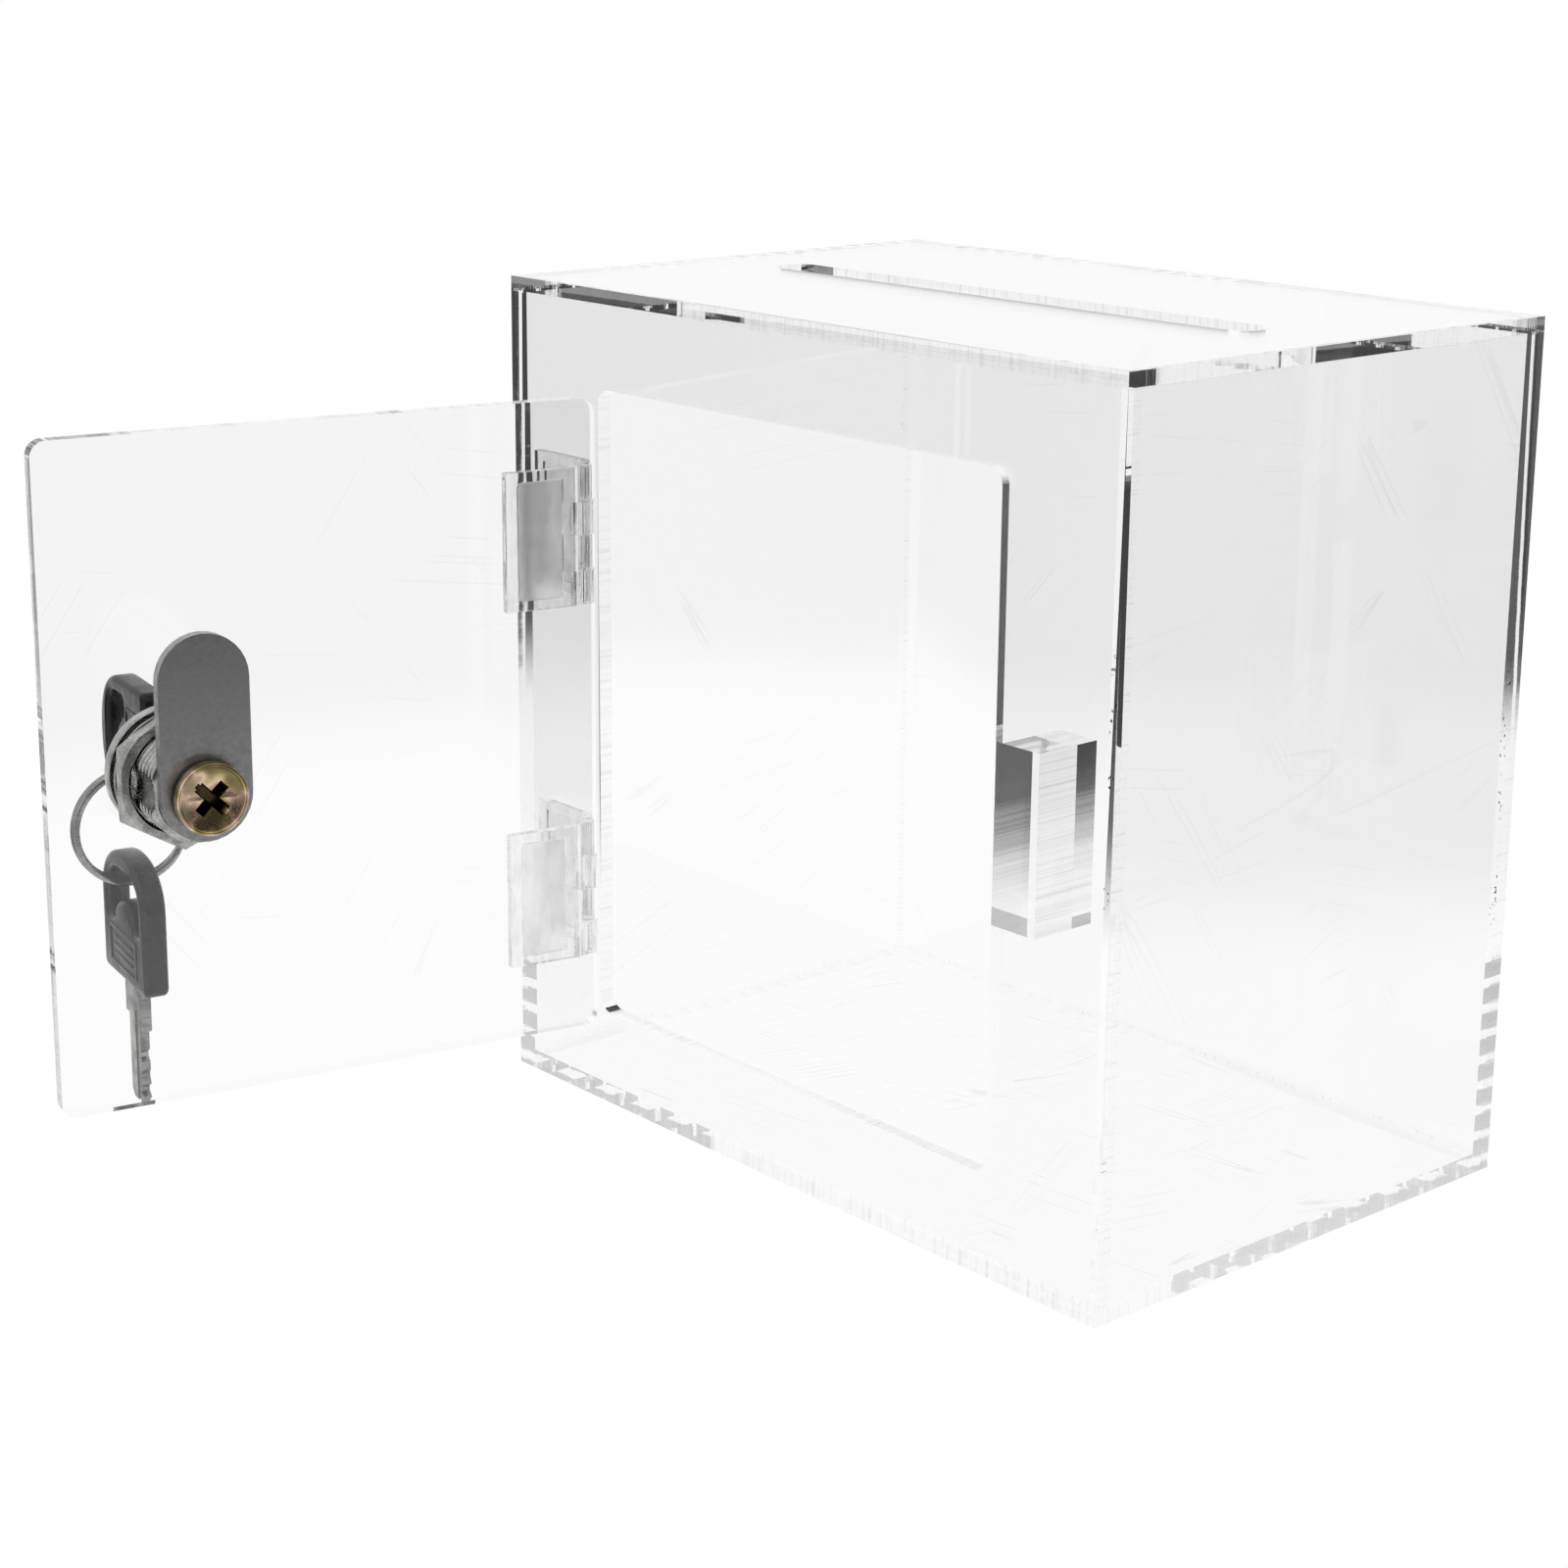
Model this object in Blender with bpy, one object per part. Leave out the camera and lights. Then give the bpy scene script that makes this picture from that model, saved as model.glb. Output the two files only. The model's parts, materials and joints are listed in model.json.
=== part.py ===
"""Acrylic donation box with a hinged front door, a cam lock and two keys.

Metres, +Z up.  The origin is the middle of the base's underside.  +X is to the right and +Y to the back for
someone who faces the front door.  The box is stored as it is emptied: door open, cam upright, key in the lock
and the spare key hanging from the split ring.
"""

import math

import bmesh
import bpy
from mathutils import Vector

MM = 0.001

# ---- box ------------------------------------------------------------------------------------------------
BOX_WIDTH = 150 * MM
BOX_DEPTH = 100 * MM
BOX_HEIGHT = 150 * MM
SHEET = 2.8 * MM                 # nominal 3 mm acrylic sheet
JOINT = 0.3 * MM                 # room left at every glued or running joint
SLOT_LENGTH = 115 * MM
SLOT_WIDTH = 8.5 * MM
OPENING_WIDTH = 100 * MM
OPENING_HEIGHT = 115 * MM
OPENING_RADIUS = 3 * MM
OPENING_MIDDLE = 75 * MM         # height of the opening's centre
KEEPER_SIZE = (8 * MM, 12.4 * MM, 30 * MM)
KEEPER_MIDDLE = 74 * MM

# ---- door and hinges ------------------------------------------------------------------------------------
KERF = 0.3 * MM                  # the laser's cut all round the door
DOOR_OPEN = math.radians(101.5)
HINGE_LEFT_OF_OPENING = 0.2 * MM
HINGE_STANDOFF = 3.5 * MM        # pin axis in front of the door's outer face
HINGE_HEIGHT = 24.6 * MM
HINGE_SPREAD = 32.5 * MM         # each hinge's centre above or below the opening's centre
LEAF_REACH = 16.5 * MM
LEAF_THICKNESS = 1.6 * MM
LEAF_RELIEF = 0.5 * MM           # shallow pocket on the glued side
LEAF_BORDER = 1.8 * MM
LEAF_SHOULDER = 5.6 * MM         # where the pocket stops beside the knuckles
KNUCKLE_RADIUS = 2.3 * MM
KNUCKLES = 4
PIN_RADIUS = 1.0 * MM
SINK = 0.05 * MM                 # how far a fused shape starts inside the one it joins

# ---- lock -----------------------------------------------------------------------------------------------
LOCK_REACH = 77.8 * MM           # lock axis from the hinge axis
HEAD_RADIUS = 11 * MM
HEAD_DEPTH = 3.2 * MM
THREAD_RADIUS = 8.8 * MM
BARREL_BEHIND_DOOR = 12.8 * MM
BORE_RADIUS = 6.3 * MM
PLUG_RADIUS = 6.0 * MM
PLUG_LIP_RADIUS = 7.5 * MM
PLUG_LIP_DEPTH = 1.2 * MM
BOSS_SIDE = 7.4 * MM
WASHER_RADIUS = 11 * MM
WASHER_THICKNESS = 0.6 * MM
NUT_FLATS = 21.5 * MM
NUT_THICKNESS = 2.6 * MM
CAM_HALF_WIDTH = 7.7 * MM
CAM_CENTRES = 19.2 * MM          # between the centres of the cam's two round ends
CAM_THICKNESS = 2 * MM
SCREW_HEAD_RADIUS = 6.1 * MM
SCREW_HEAD_DEPTH = 2.4 * MM
SCREW_RADIUS = 2.6 * MM
SCREW_LENGTH = 3.8 * MM
WAFERS = 5
WAFER_PITCH = 2.1 * MM
WAFER_THICKNESS = 0.8 * MM
FIRST_WAFER = 6.6 * MM           # behind the lock's front face
SPRING_SIDE = 3.25 * MM          # each spring stands this far beside the blade

# ---- keys and ring --------------------------------------------------------------------------------------
KEY_TIP_OUT = 32 * MM            # domed end of the inserted key's bow, in front of the door
BOW_LENGTH = 23.6 * MM
BOW_HALF_WIDTH = 11.25 * MM
BOW_THICKNESS = 4.5 * MM
BOW_DOME = 9 * MM                # height of the bow's rounded end
BOW_RIM = 2.8 * MM
BOW_CROWN = 3.4 * MM             # rim thickness at the top of the dome
DOME_SQUARENESS = 2.2            # of the bow's outside
EYE_SQUARENESS = 3.0             # of its eye
BOW_EDGE = 1.0 * MM              # rounding of the bow's moulded edges
TONGUE_HALF_WIDTH = 4.8 * MM
TONGUE_TOP = 8.7 * MM            # below the top of the dome
EYE_DEPTH = 13 * MM              # how far down the eye's two legs reach
SHANK_WIDTH = 9.4 * MM
SHANK_LENGTH = 8.3 * MM
BLADE_WIDTH = 6 * MM
BLADE_LENGTH = 13.9 * MM
BLADE_THICKNESS = 1.6 * MM
BLADE_IN_BOW = 5 * MM
RING_RADIUS = 9.7 * MM           # to the middle of the wire
RING_WIRE = 2 * MM               # two turns of flattened wire, seen as one
RING_BELOW_DOME = 7.4 * MM       # ring's plane, from the domed end of the inserted key's bow
RING_PIVOT_DROP = 11.0 * MM      # swing centre, inside the bow's rim, below the lock axis
RING_DROP = 5.1 * MM             # ring's centre below its swing centre

INNER = HINGE_STANDOFF + SHEET                                # door's inner face, from the hinge axis
LOCK_END = INNER + BARREL_BEHIND_DOOR
CAM_PLANE = LOCK_END + JOINT
HEAD_FRONT = HINGE_STANDOFF - JOINT - HEAD_DEPTH
BOW_TOP = HINGE_STANDOFF - KEY_TIP_OUT
BOW_BASE = BOW_TOP + BOW_LENGTH
BLADE_TIP = BOW_BASE + SHANK_LENGTH + BLADE_LENGTH


# ---- scene ----------------------------------------------------------------------------------------------
def clear_scene():
    for thing in list(bpy.data.objects):
        bpy.data.objects.remove(thing, do_unlink=True)
    for mesh in list(bpy.data.meshes):
        bpy.data.meshes.remove(mesh)
    for material in list(bpy.data.materials):
        bpy.data.materials.remove(material)


def material(name, colour, roughness, metallic=0.0, clear=0.0):
    made = bpy.data.materials.new(name)
    made.use_nodes = True
    shader = made.node_tree.nodes["Principled BSDF"]
    shader.inputs["Base Color"].default_value = (*colour, 1.0)
    shader.inputs["Roughness"].default_value = roughness
    shader.inputs["Metallic"].default_value = metallic
    shader.inputs["Transmission Weight"].default_value = clear
    shader.inputs["IOR"].default_value = 1.49
    return made


def empty(name, location, parent=None, turn_z=0.0):
    made = bpy.data.objects.new(name, None)
    made.empty_display_size = 5 * MM
    made.location = location
    made.rotation_euler = (0.0, 0.0, turn_z)
    made.parent = parent
    bpy.context.scene.collection.objects.link(made)
    return made


def add(name, bm, finish=None, parent=None, location=(0, 0, 0)):
    """Turns a bmesh into a named object with its faces pointing out."""
    bmesh.ops.recalc_face_normals(bm, faces=bm.faces)
    mesh = bpy.data.meshes.new(name)
    bm.to_mesh(mesh)
    bm.free()
    made = bpy.data.objects.new(name, mesh)
    if finish is not None:
        mesh.materials.append(finish)
    made.location = location
    made.parent = parent
    bpy.context.scene.collection.objects.link(made)
    return made


def combine(target, other, operation):
    """Applies a Boolean of target with other, and removes other."""
    bpy.context.view_layer.update()
    step = target.modifiers.new("combine", "BOOLEAN")
    step.operation = operation
    step.solver = "EXACT"
    step.object = other
    graph = bpy.context.evaluated_depsgraph_get()
    result = bpy.data.meshes.new_from_object(target.evaluated_get(graph), depsgraph=graph)
    target.modifiers.clear()
    old = target.data
    target.data = result
    result.name = target.name
    bpy.data.meshes.remove(old)
    cutter_mesh = other.data
    bpy.data.objects.remove(other, do_unlink=True)
    bpy.data.meshes.remove(cutter_mesh)
    return target


def cut(target, shape):
    """Cuts a bmesh, drawn in the target's own axes, out of the target."""
    other = add("cutter", shape, parent=target.parent, location=target.location)
    return combine(target, other, "DIFFERENCE")


def join(target, shape):
    other = add("joiner", shape, parent=target.parent, location=target.location)
    return combine(target, other, "UNION")


def round_shading(made, degrees=35):
    made.data.shade_smooth()
    made.data.set_sharp_from_angle(angle=math.radians(degrees))


# ---- outlines and solids --------------------------------------------------------------------------------
def arc(centre, radius, start, end, steps):
    return [(centre[0] + radius * math.cos(math.radians(start + (end - start) * i / steps)),
             centre[1] + radius * math.sin(math.radians(start + (end - start) * i / steps)))
            for i in range(steps + 1)]


def rounded_rectangle(width, height, radius, steps=5, centre=(0, 0)):
    x, y = width / 2 - radius, height / 2 - radius
    corners = [((x, y), 0), ((-x, y), 90), ((-x, -y), 180), ((x, -y), 270)]
    outline = []
    for (cx, cy), start in corners:
        outline += arc((centre[0] + cx, centre[1] + cy), radius, start, start + 90, steps)
    return outline


def stadium(length, half_width, steps=12):
    """A slot outline: two half circles whose centres are length apart, along the first axis."""
    return (arc((length / 2, 0), half_width, -90, 90, steps)
            + arc((-length / 2, 0), half_width, 90, 270, steps))


def circle(radius, steps, phase=0.0):
    return [(radius * math.cos(math.radians(phase) + math.tau * i / steps),
             radius * math.sin(math.radians(phase) + math.tau * i / steps)) for i in range(steps)]


PLANES = {"z": lambda a, b, c: (a, b, c), "y": lambda a, b, c: (a, c, b), "x": lambda a, b, c: (c, a, b)}


def prism(outline, low, high, axis="z"):
    """A solid with the given outline, from low to high along the axis."""
    place = PLANES[axis]
    bm = bmesh.new()
    lower = [bm.verts.new(place(a, b, low)) for a, b in outline]
    upper = [bm.verts.new(place(a, b, high)) for a, b in outline]
    bm.faces.new(lower)
    bm.faces.new(upper)
    for i in range(len(outline)):
        k = (i + 1) % len(outline)
        bm.faces.new((lower[i], lower[k], upper[k], upper[i]))
    return bm


def block(low, high):
    (x0, y0, z0), (x1, y1, z1) = low, high
    return prism([(x0, y0), (x1, y0), (x1, y1), (x0, y1)], z0, z1)


def turned(profile, steps, axis="y"):
    """A solid of revolution: profile is (radius, along) pairs, closed on the axis where the radius is zero."""
    place = PLANES[axis]
    bm = bmesh.new()
    loops = []
    for radius, along in profile:
        if radius == 0:
            loops.append([bm.verts.new(place(0, 0, along))])
        else:
            loops.append([bm.verts.new(place(a, b, along)) for a, b in circle(radius, steps)])
    closed = profile[0][0] != 0
    pairs = list(zip(loops, loops[1:] + loops[:1])) if closed else list(zip(loops, loops[1:]))
    for one, two in pairs:
        for i in range(steps):
            k = (i + 1) % steps
            ring = [one[i % len(one)], one[k % len(one)], two[k % len(two)], two[i % len(two)]]
            corners = list(dict.fromkeys(ring))
            bm.faces.new(corners)
    return bm


def bevel_edges(made, width, segments=1):
    step = made.modifiers.new("edge", "BEVEL")
    step.width = width
    step.segments = segments
    step.limit_method = "ANGLE"
    step.angle_limit = math.radians(50)
    return made


# ---- box ------------------------------------------------------------------------------------------------
def build_box(acrylic):
    half_w, half_d = BOX_WIDTH / 2, BOX_DEPTH / 2
    wall_low, wall_high = SHEET + JOINT, BOX_HEIGHT - SHEET - JOINT

    add("base_panel", block((-half_w, -half_d, 0), (half_w, half_d, SHEET)), acrylic)

    lid = add("lid_panel", block((-half_w, -half_d, BOX_HEIGHT - SHEET), (half_w, half_d, BOX_HEIGHT)), acrylic)
    slot = stadium(SLOT_LENGTH - SLOT_WIDTH, SLOT_WIDTH / 2)
    cut(lid, prism(slot, BOX_HEIGHT - 2 * SHEET, BOX_HEIGHT + SHEET))

    add("back_panel", block((-half_w, half_d - SHEET, wall_low), (half_w, half_d, wall_high)), acrylic)
    inside = half_d - SHEET - JOINT
    for name, x in (("left_side_panel", -half_w), ("right_side_panel", half_w - SHEET)):
        add(name, block((x, -inside, wall_low), (x + SHEET, inside, wall_high)), acrylic)

    front = add("front_panel", block((-half_w, -half_d, wall_low), (half_w, -half_d + SHEET, wall_high)), acrylic)
    opening = rounded_rectangle(OPENING_WIDTH, OPENING_HEIGHT, OPENING_RADIUS, centre=(0, OPENING_MIDDLE))
    cut(front, prism(opening, -half_d - SHEET, -half_d + 2 * SHEET, axis="y"))

    width, depth, height = KEEPER_SIZE
    x, y, z = OPENING_WIDTH / 2, -inside, KEEPER_MIDDLE - height / 2
    add("keeper_block", block((x, y, z), (x + width, y + depth, z + height)), acrylic)


# ---- hinges ---------------------------------------------------------------------------------------------
def hinge_leaf(name, side, own_knuckles, clear, parent, middle):
    """One moulded leaf.  side is +1 for the door's leaf and -1 for the frame's; its axes sit on the pin."""
    glued = HINGE_STANDOFF - JOINT
    low = -HINGE_HEIGHT / 2
    span = HINGE_HEIGHT / KNUCKLES
    clearance = KNUCKLE_RADIUS + 0.5 * MM

    def across(x0, x1, y0, y1, z0, z1):
        left, right = sorted((side * x0, side * x1))
        return block((left, y0, z0), (right, y1, z1))

    leaf = add(name, across(clearance, LEAF_REACH, glued - LEAF_THICKNESS, glued, low, -low), clear, parent,
               (0, 0, middle))
    cut(leaf, across(LEAF_SHOULDER, LEAF_REACH - LEAF_BORDER, glued - LEAF_RELIEF, glued + 1 * MM,
                     low + LEAF_BORDER, -low - LEAF_BORDER))
    for i in own_knuckles:
        top = -low - i * span - (JOINT / 2 if i else SINK)
        bottom = -low - (i + 1) * span + (JOINT / 2 if i < KNUCKLES - 1 else SINK)
        barrel = arc((0, 0), KNUCKLE_RADIUS, 20, -280, 20)
        tail = [(1.2 * MM, glued - 0.6 * MM), (clearance + 1 * MM, glued - SINK)]
        root = [(clearance + 1 * MM, glued - LEAF_THICKNESS + SINK)]
        join(leaf, prism([(side * x, y) for x, y in root + barrel + tail], bottom, top))
    cut(leaf, prism(circle(PIN_RADIUS + JOINT, 20), low - 1 * MM, -low + 1 * MM))
    round_shading(leaf)
    return leaf


def build_hinges(clear, frame_axis, door_axis):
    for name, offset in (("upper", HINGE_SPREAD), ("lower", -HINGE_SPREAD)):
        middle = OPENING_MIDDLE + offset
        hinge_leaf(f"{name}_hinge_frame_leaf", -1, (0, 2), clear, frame_axis, middle)
        hinge_leaf(f"{name}_hinge_door_leaf", 1, (1, 3), clear, door_axis, middle)
        half = HINGE_HEIGHT / 2 - 0.2 * MM
        pin = add(f"{name}_hinge_pin", prism(circle(PIN_RADIUS, 20), -half, half), clear, frame_axis,
                  (0, 0, middle))
        round_shading(pin)


# ---- door -----------------------------------------------------------------------------------------------
def build_door(acrylic, door_axis):
    width, height = OPENING_WIDTH - 2 * KERF, OPENING_HEIGHT - 2 * KERF
    middle = HINGE_LEFT_OF_OPENING + OPENING_WIDTH / 2
    outline = rounded_rectangle(width, height, OPENING_RADIUS - KERF, centre=(middle, OPENING_MIDDLE))
    door = add("door_panel", prism(outline, HINGE_STANDOFF, INNER, axis="y"), acrylic, door_axis)
    hole = [(LOCK_REACH + x, OPENING_MIDDLE + z) for x, z in circle(THREAD_RADIUS + JOINT, 48)]
    cut(door, prism(hole, 0, INNER + 3 * MM, axis="y"))


# ---- lock -----------------------------------------------------------------------------------------------
def build_lock_body(zinc, lock_axis):
    """The parts of the lock that stay still on the door.  Their axes sit on the lock's axis."""
    under_head = HINGE_STANDOFF - JOINT
    counterbore = HEAD_FRONT + PLUG_LIP_DEPTH + JOINT
    profile = [(BORE_RADIUS, counterbore), (PLUG_LIP_RADIUS + JOINT, counterbore),
               (PLUG_LIP_RADIUS + JOINT, HEAD_FRONT), (HEAD_RADIUS - 1 * MM, HEAD_FRONT),
               (HEAD_RADIUS, HEAD_FRONT + 1 * MM), (HEAD_RADIUS, under_head),
               (THREAD_RADIUS, under_head), (THREAD_RADIUS, LOCK_END - 0.8 * MM),
               (THREAD_RADIUS - 0.8 * MM, LOCK_END), (BORE_RADIUS, LOCK_END)]
    barrel = add("lock_barrel", turned(profile, 48), zinc, lock_axis)
    round_shading(barrel)

    washer_low = INNER + JOINT
    washer_high = washer_low + WASHER_THICKNESS
    inner_radius = THREAD_RADIUS + JOINT
    washer = [(inner_radius, washer_low), (WASHER_RADIUS, washer_low), (WASHER_RADIUS, washer_high),
              (inner_radius, washer_high)]
    round_shading(add("lock_washer", turned(washer, 48), zinc, lock_axis))

    nut_low = washer_high + JOINT
    corner = NUT_FLATS / math.sqrt(3)
    nut = add("lock_nut", prism(circle(corner, 6, phase=30), nut_low, nut_low + NUT_THICKNESS, axis="y"),
              zinc, lock_axis)
    bevel_edges(nut, 0.4 * MM)
    hole = prism(circle(inner_radius, 48), nut_low - 1 * MM, nut_low + NUT_THICKNESS + 1 * MM, axis="y")
    cut(nut, hole)
    round_shading(nut, 20)


def wafer_places():
    return [HEAD_FRONT + FIRST_WAFER + i * WAFER_PITCH for i in range(WAFERS)]


def build_plug(brass, steel, lock_axis):
    lip = HEAD_FRONT + PLUG_LIP_DEPTH
    profile = [(0, HEAD_FRONT), (PLUG_LIP_RADIUS, HEAD_FRONT), (PLUG_LIP_RADIUS, lip), (PLUG_RADIUS, lip),
               (PLUG_RADIUS, LOCK_END), (0, LOCK_END)]
    plug = add("lock_plug", turned(profile, 40), brass, lock_axis)
    half = BOSS_SIDE / 2
    join(plug, block((-half, LOCK_END - 1 * MM, -half), (half, CAM_PLANE + CAM_THICKNESS - JOINT, half)))

    room = BLADE_THICKNESS / 2 + JOINT
    wide, narrow = SHANK_WIDTH / 2 + JOINT, BLADE_WIDTH / 2 + JOINT
    shoulder = BOW_BASE + SHANK_LENGTH + JOINT
    cut(plug, block((-room, HEAD_FRONT - 1 * MM, -wide), (room, shoulder, wide)))
    cut(plug, block((-room, shoulder - 0.5 * MM, -narrow), (room, BLADE_TIP + JOINT, narrow)))
    cut(plug, prism(circle(SCREW_RADIUS + JOINT, 20), BLADE_TIP, CAM_PLANE + CAM_THICKNESS + 1 * MM, axis="y"))
    chamber = 4.3 * MM
    for y in wafer_places():
        reach = WAFER_THICKNESS / 2 + JOINT
        cut(plug, block((-chamber, y - reach, -PLUG_RADIUS - 1 * MM), (chamber, y + reach, PLUG_RADIUS + 1 * MM)))
    round_shading(plug)

    for i, y in enumerate(wafer_places(), start=1):
        build_wafer(i, y, narrow, room, brass, lock_axis)
        coil = spring((SPRING_SIDE, y, -4.2 * MM), 0.4 * MM, 0.12 * MM, 3.8 * MM, 4)
        round_shading(add(f"wafer_spring_{i}", coil, steel, lock_axis), 60)


def build_wafer(number, middle, window_up, window_across, brass, lock_axis):
    """A sliding tumbler: a plate with a window for the blade and a lug that its spring pushes on."""
    half, end, lug = 4.0 * MM, 4.4 * MM, 1.8 * MM
    shoulder = SPRING_SIDE - 1.05 * MM
    outline = [(-half, -end), (shoulder, -end), (shoulder, 0), (half, 0), (half, lug), (shoulder, lug),
               (shoulder, end), (-half, end)]
    low, high = middle - WAFER_THICKNESS / 2, middle + WAFER_THICKNESS / 2
    wafer = add(f"lock_wafer_{number}", prism(outline, low, high, axis="y"), brass, lock_axis)
    cut(wafer, block((-window_across, low - 1 * MM, -window_up), (window_across, high + 1 * MM, window_up)))


def spring(foot, radius, wire, height, turns, around=10, sides=4):
    """An upright helical spring of round wire that stands on foot."""
    bm = bmesh.new()
    rings = []
    count = turns * around
    for i in range(count + 1):
        angle = math.tau * i / around
        centre = Vector(foot) + Vector((radius * math.cos(angle), radius * math.sin(angle), height * i / count))
        out = Vector((math.cos(angle), math.sin(angle), 0))
        up = Vector((0, 0, 1))
        rings.append([bm.verts.new(centre + wire * (out * math.cos(math.tau * k / sides)
                                                    + up * math.sin(math.tau * k / sides)))
                      for k in range(sides)])
    bm.faces.new(rings[0])
    bm.faces.new(rings[-1])
    for one, two in zip(rings, rings[1:]):
        for k in range(sides):
            m = (k + 1) % sides
            bm.faces.new((one[k], one[m], two[m], two[k]))
    return bm


def build_cam(steel, yellow_zinc, lock_axis):
    outline = [(-b, a + CAM_CENTRES / 2) for a, b in stadium(CAM_CENTRES, CAM_HALF_WIDTH, 16)]
    cam = add("cam_plate", prism(outline, CAM_PLANE, CAM_PLANE + CAM_THICKNESS, axis="y"), steel, lock_axis)
    half = BOSS_SIDE / 2 + JOINT
    cut(cam, block((-half, CAM_PLANE - 1 * MM, -half), (half, CAM_PLANE + CAM_THICKNESS + 1 * MM, half)))
    round_shading(cam)

    head = CAM_PLANE + CAM_THICKNESS + JOINT
    top = head + SCREW_HEAD_DEPTH
    profile = [(0, head - SCREW_LENGTH), (SCREW_RADIUS, head - SCREW_LENGTH), (SCREW_RADIUS, head),
               (SCREW_HEAD_RADIUS, head), (SCREW_HEAD_RADIUS, top - 0.9 * MM),
               (SCREW_HEAD_RADIUS * 0.88, top - 0.3 * MM), (SCREW_HEAD_RADIUS * 0.55, top), (0, top)]
    screw = add("cam_screw", turned(profile, 36), yellow_zinc, lock_axis)
    arm, wing = 2.9 * MM, 0.7 * MM
    for across, up in ((arm, wing), (wing, arm)):
        cut(screw, block((-across, top - 1.5 * MM, -up), (across, top + 1 * MM, up)))
    round_shading(screw)


# ---- keys -----------------------------------------------------------------------------------------------
def dome(inset, crown, squareness, steps=20):
    """The bow's rounded end as (side, below the top) points, inset from the outside by a rim.

    squareness is the superellipse's exponent: 2 is an ellipse, and more is squarer.
    """
    half, rise = BOW_HALF_WIDTH - inset, BOW_DOME - crown
    power = 2 / squareness
    points = []
    for i in range(steps + 1):
        angle = math.pi * i / steps
        c, s = math.cos(angle), math.sin(angle)
        points.append((half * math.copysign(abs(c) ** power, c), BOW_DOME - rise * s ** power))
    return points


def key_bow(name, plastic, parent, location, place):
    """A moulded bow.  place turns (side, below the dome's top, through) into the object's own axes."""
    def slab(outline, half_thickness):
        bm = bmesh.new()
        lower = [bm.verts.new(place(a, b, -half_thickness)) for a, b in outline]
        upper = [bm.verts.new(place(a, b, half_thickness)) for a, b in outline]
        bm.faces.new(lower)
        bm.faces.new(upper)
        for i in range(len(outline)):
            k = (i + 1) % len(outline)
            bm.faces.new((lower[i], lower[k], upper[k], upper[i]))
        return bm

    corner = 1.6 * MM
    low_side = BOW_HALF_WIDTH - corner
    base = (arc((-low_side, BOW_LENGTH - corner), corner, 180, 90, 4)
            + arc((low_side, BOW_LENGTH - corner), corner, 90, 0, 4))
    body = add(name, slab(dome(0, 0, DOME_SQUARENESS) + base, BOW_THICKNESS / 2), plastic, parent, location)
    bmesh_bevel(body, BOW_EDGE)

    outer = dome(BOW_RIM, BOW_CROWN, EYE_SQUARENESS)
    tongue = arc((0, TONGUE_TOP + TONGUE_HALF_WIDTH), TONGUE_HALF_WIDTH, 180, 360, 12)
    eye = outer + [(-(BOW_HALF_WIDTH - BOW_RIM), EYE_DEPTH), (-TONGUE_HALF_WIDTH, EYE_DEPTH)] + tongue[1:-1]
    eye += [(TONGUE_HALF_WIDTH, EYE_DEPTH), (BOW_HALF_WIDTH - BOW_RIM, EYE_DEPTH)]
    cut(body, slab(eye, BOW_THICKNESS))

    half = SHANK_WIDTH / 2 + JOINT
    pocket = [(-half, BOW_LENGTH - BLADE_IN_BOW - JOINT), (half, BOW_LENGTH - BLADE_IN_BOW - JOINT),
              (half, BOW_LENGTH + 1 * MM), (-half, BOW_LENGTH + 1 * MM)]
    cut(body, slab(pocket, BLADE_THICKNESS / 2 + JOINT))
    round_shading(body)
    return body


def bmesh_bevel(made, width):
    """Rounds the long edges round the outline of a slab."""
    bm = bmesh.new()
    bm.from_mesh(made.data)
    sharp = [e for e in bm.edges if len(e.link_faces) == 2 and e.calc_face_angle(0) > math.radians(60)]
    bmesh.ops.bevel(bm, geom=sharp, offset=width, segments=2, profile=0.5, affect="EDGES", clamp_overlap=True)
    bm.to_mesh(made.data)
    bm.free()


def key_blade(name, steel, parent, location, place):
    """The flat blade: a wide shank under the bow, then a narrow bitted end with a chamfered tip."""
    wide, narrow = SHANK_WIDTH / 2, BLADE_WIDTH / 2
    start, step = BOW_LENGTH - BLADE_IN_BOW, BOW_LENGTH + SHANK_LENGTH
    end = step + BLADE_LENGTH
    chamfer = 1.2 * MM
    right = [(wide, start), (wide, step), (narrow, step)]
    cuts = [(0.35, 0.9), (0.62, 0.5), (0.82, 1.1)]
    bitting = []
    for share, depth in cuts:
        y = step + share * BLADE_LENGTH
        bitting += [(narrow, y - 1.1 * MM), (narrow - depth * MM, y - 0.4 * MM),
                    (narrow - depth * MM, y + 0.4 * MM), (narrow, y + 1.1 * MM)]
    tip = [(narrow, end - chamfer), (narrow - chamfer, end), (-narrow + chamfer, end), (-narrow, end - chamfer)]
    left_step = step - 1.6 * MM
    left = [(-narrow, left_step), (-wide, left_step), (-wide, start)]
    outline = right + bitting + tip + left
    bm = bmesh.new()
    for side in (-1, 1):
        loop = [bm.verts.new(place(a, b, side * BLADE_THICKNESS / 2)) for a, b in outline]
        bm.faces.new(loop)
        if side == -1:
            first = loop
    for i in range(len(outline)):
        k = (i + 1) % len(outline)
        bm.faces.new((first[i], first[k], loop[k], loop[i]))
    return add(name, bm, steel, parent, location)


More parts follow.
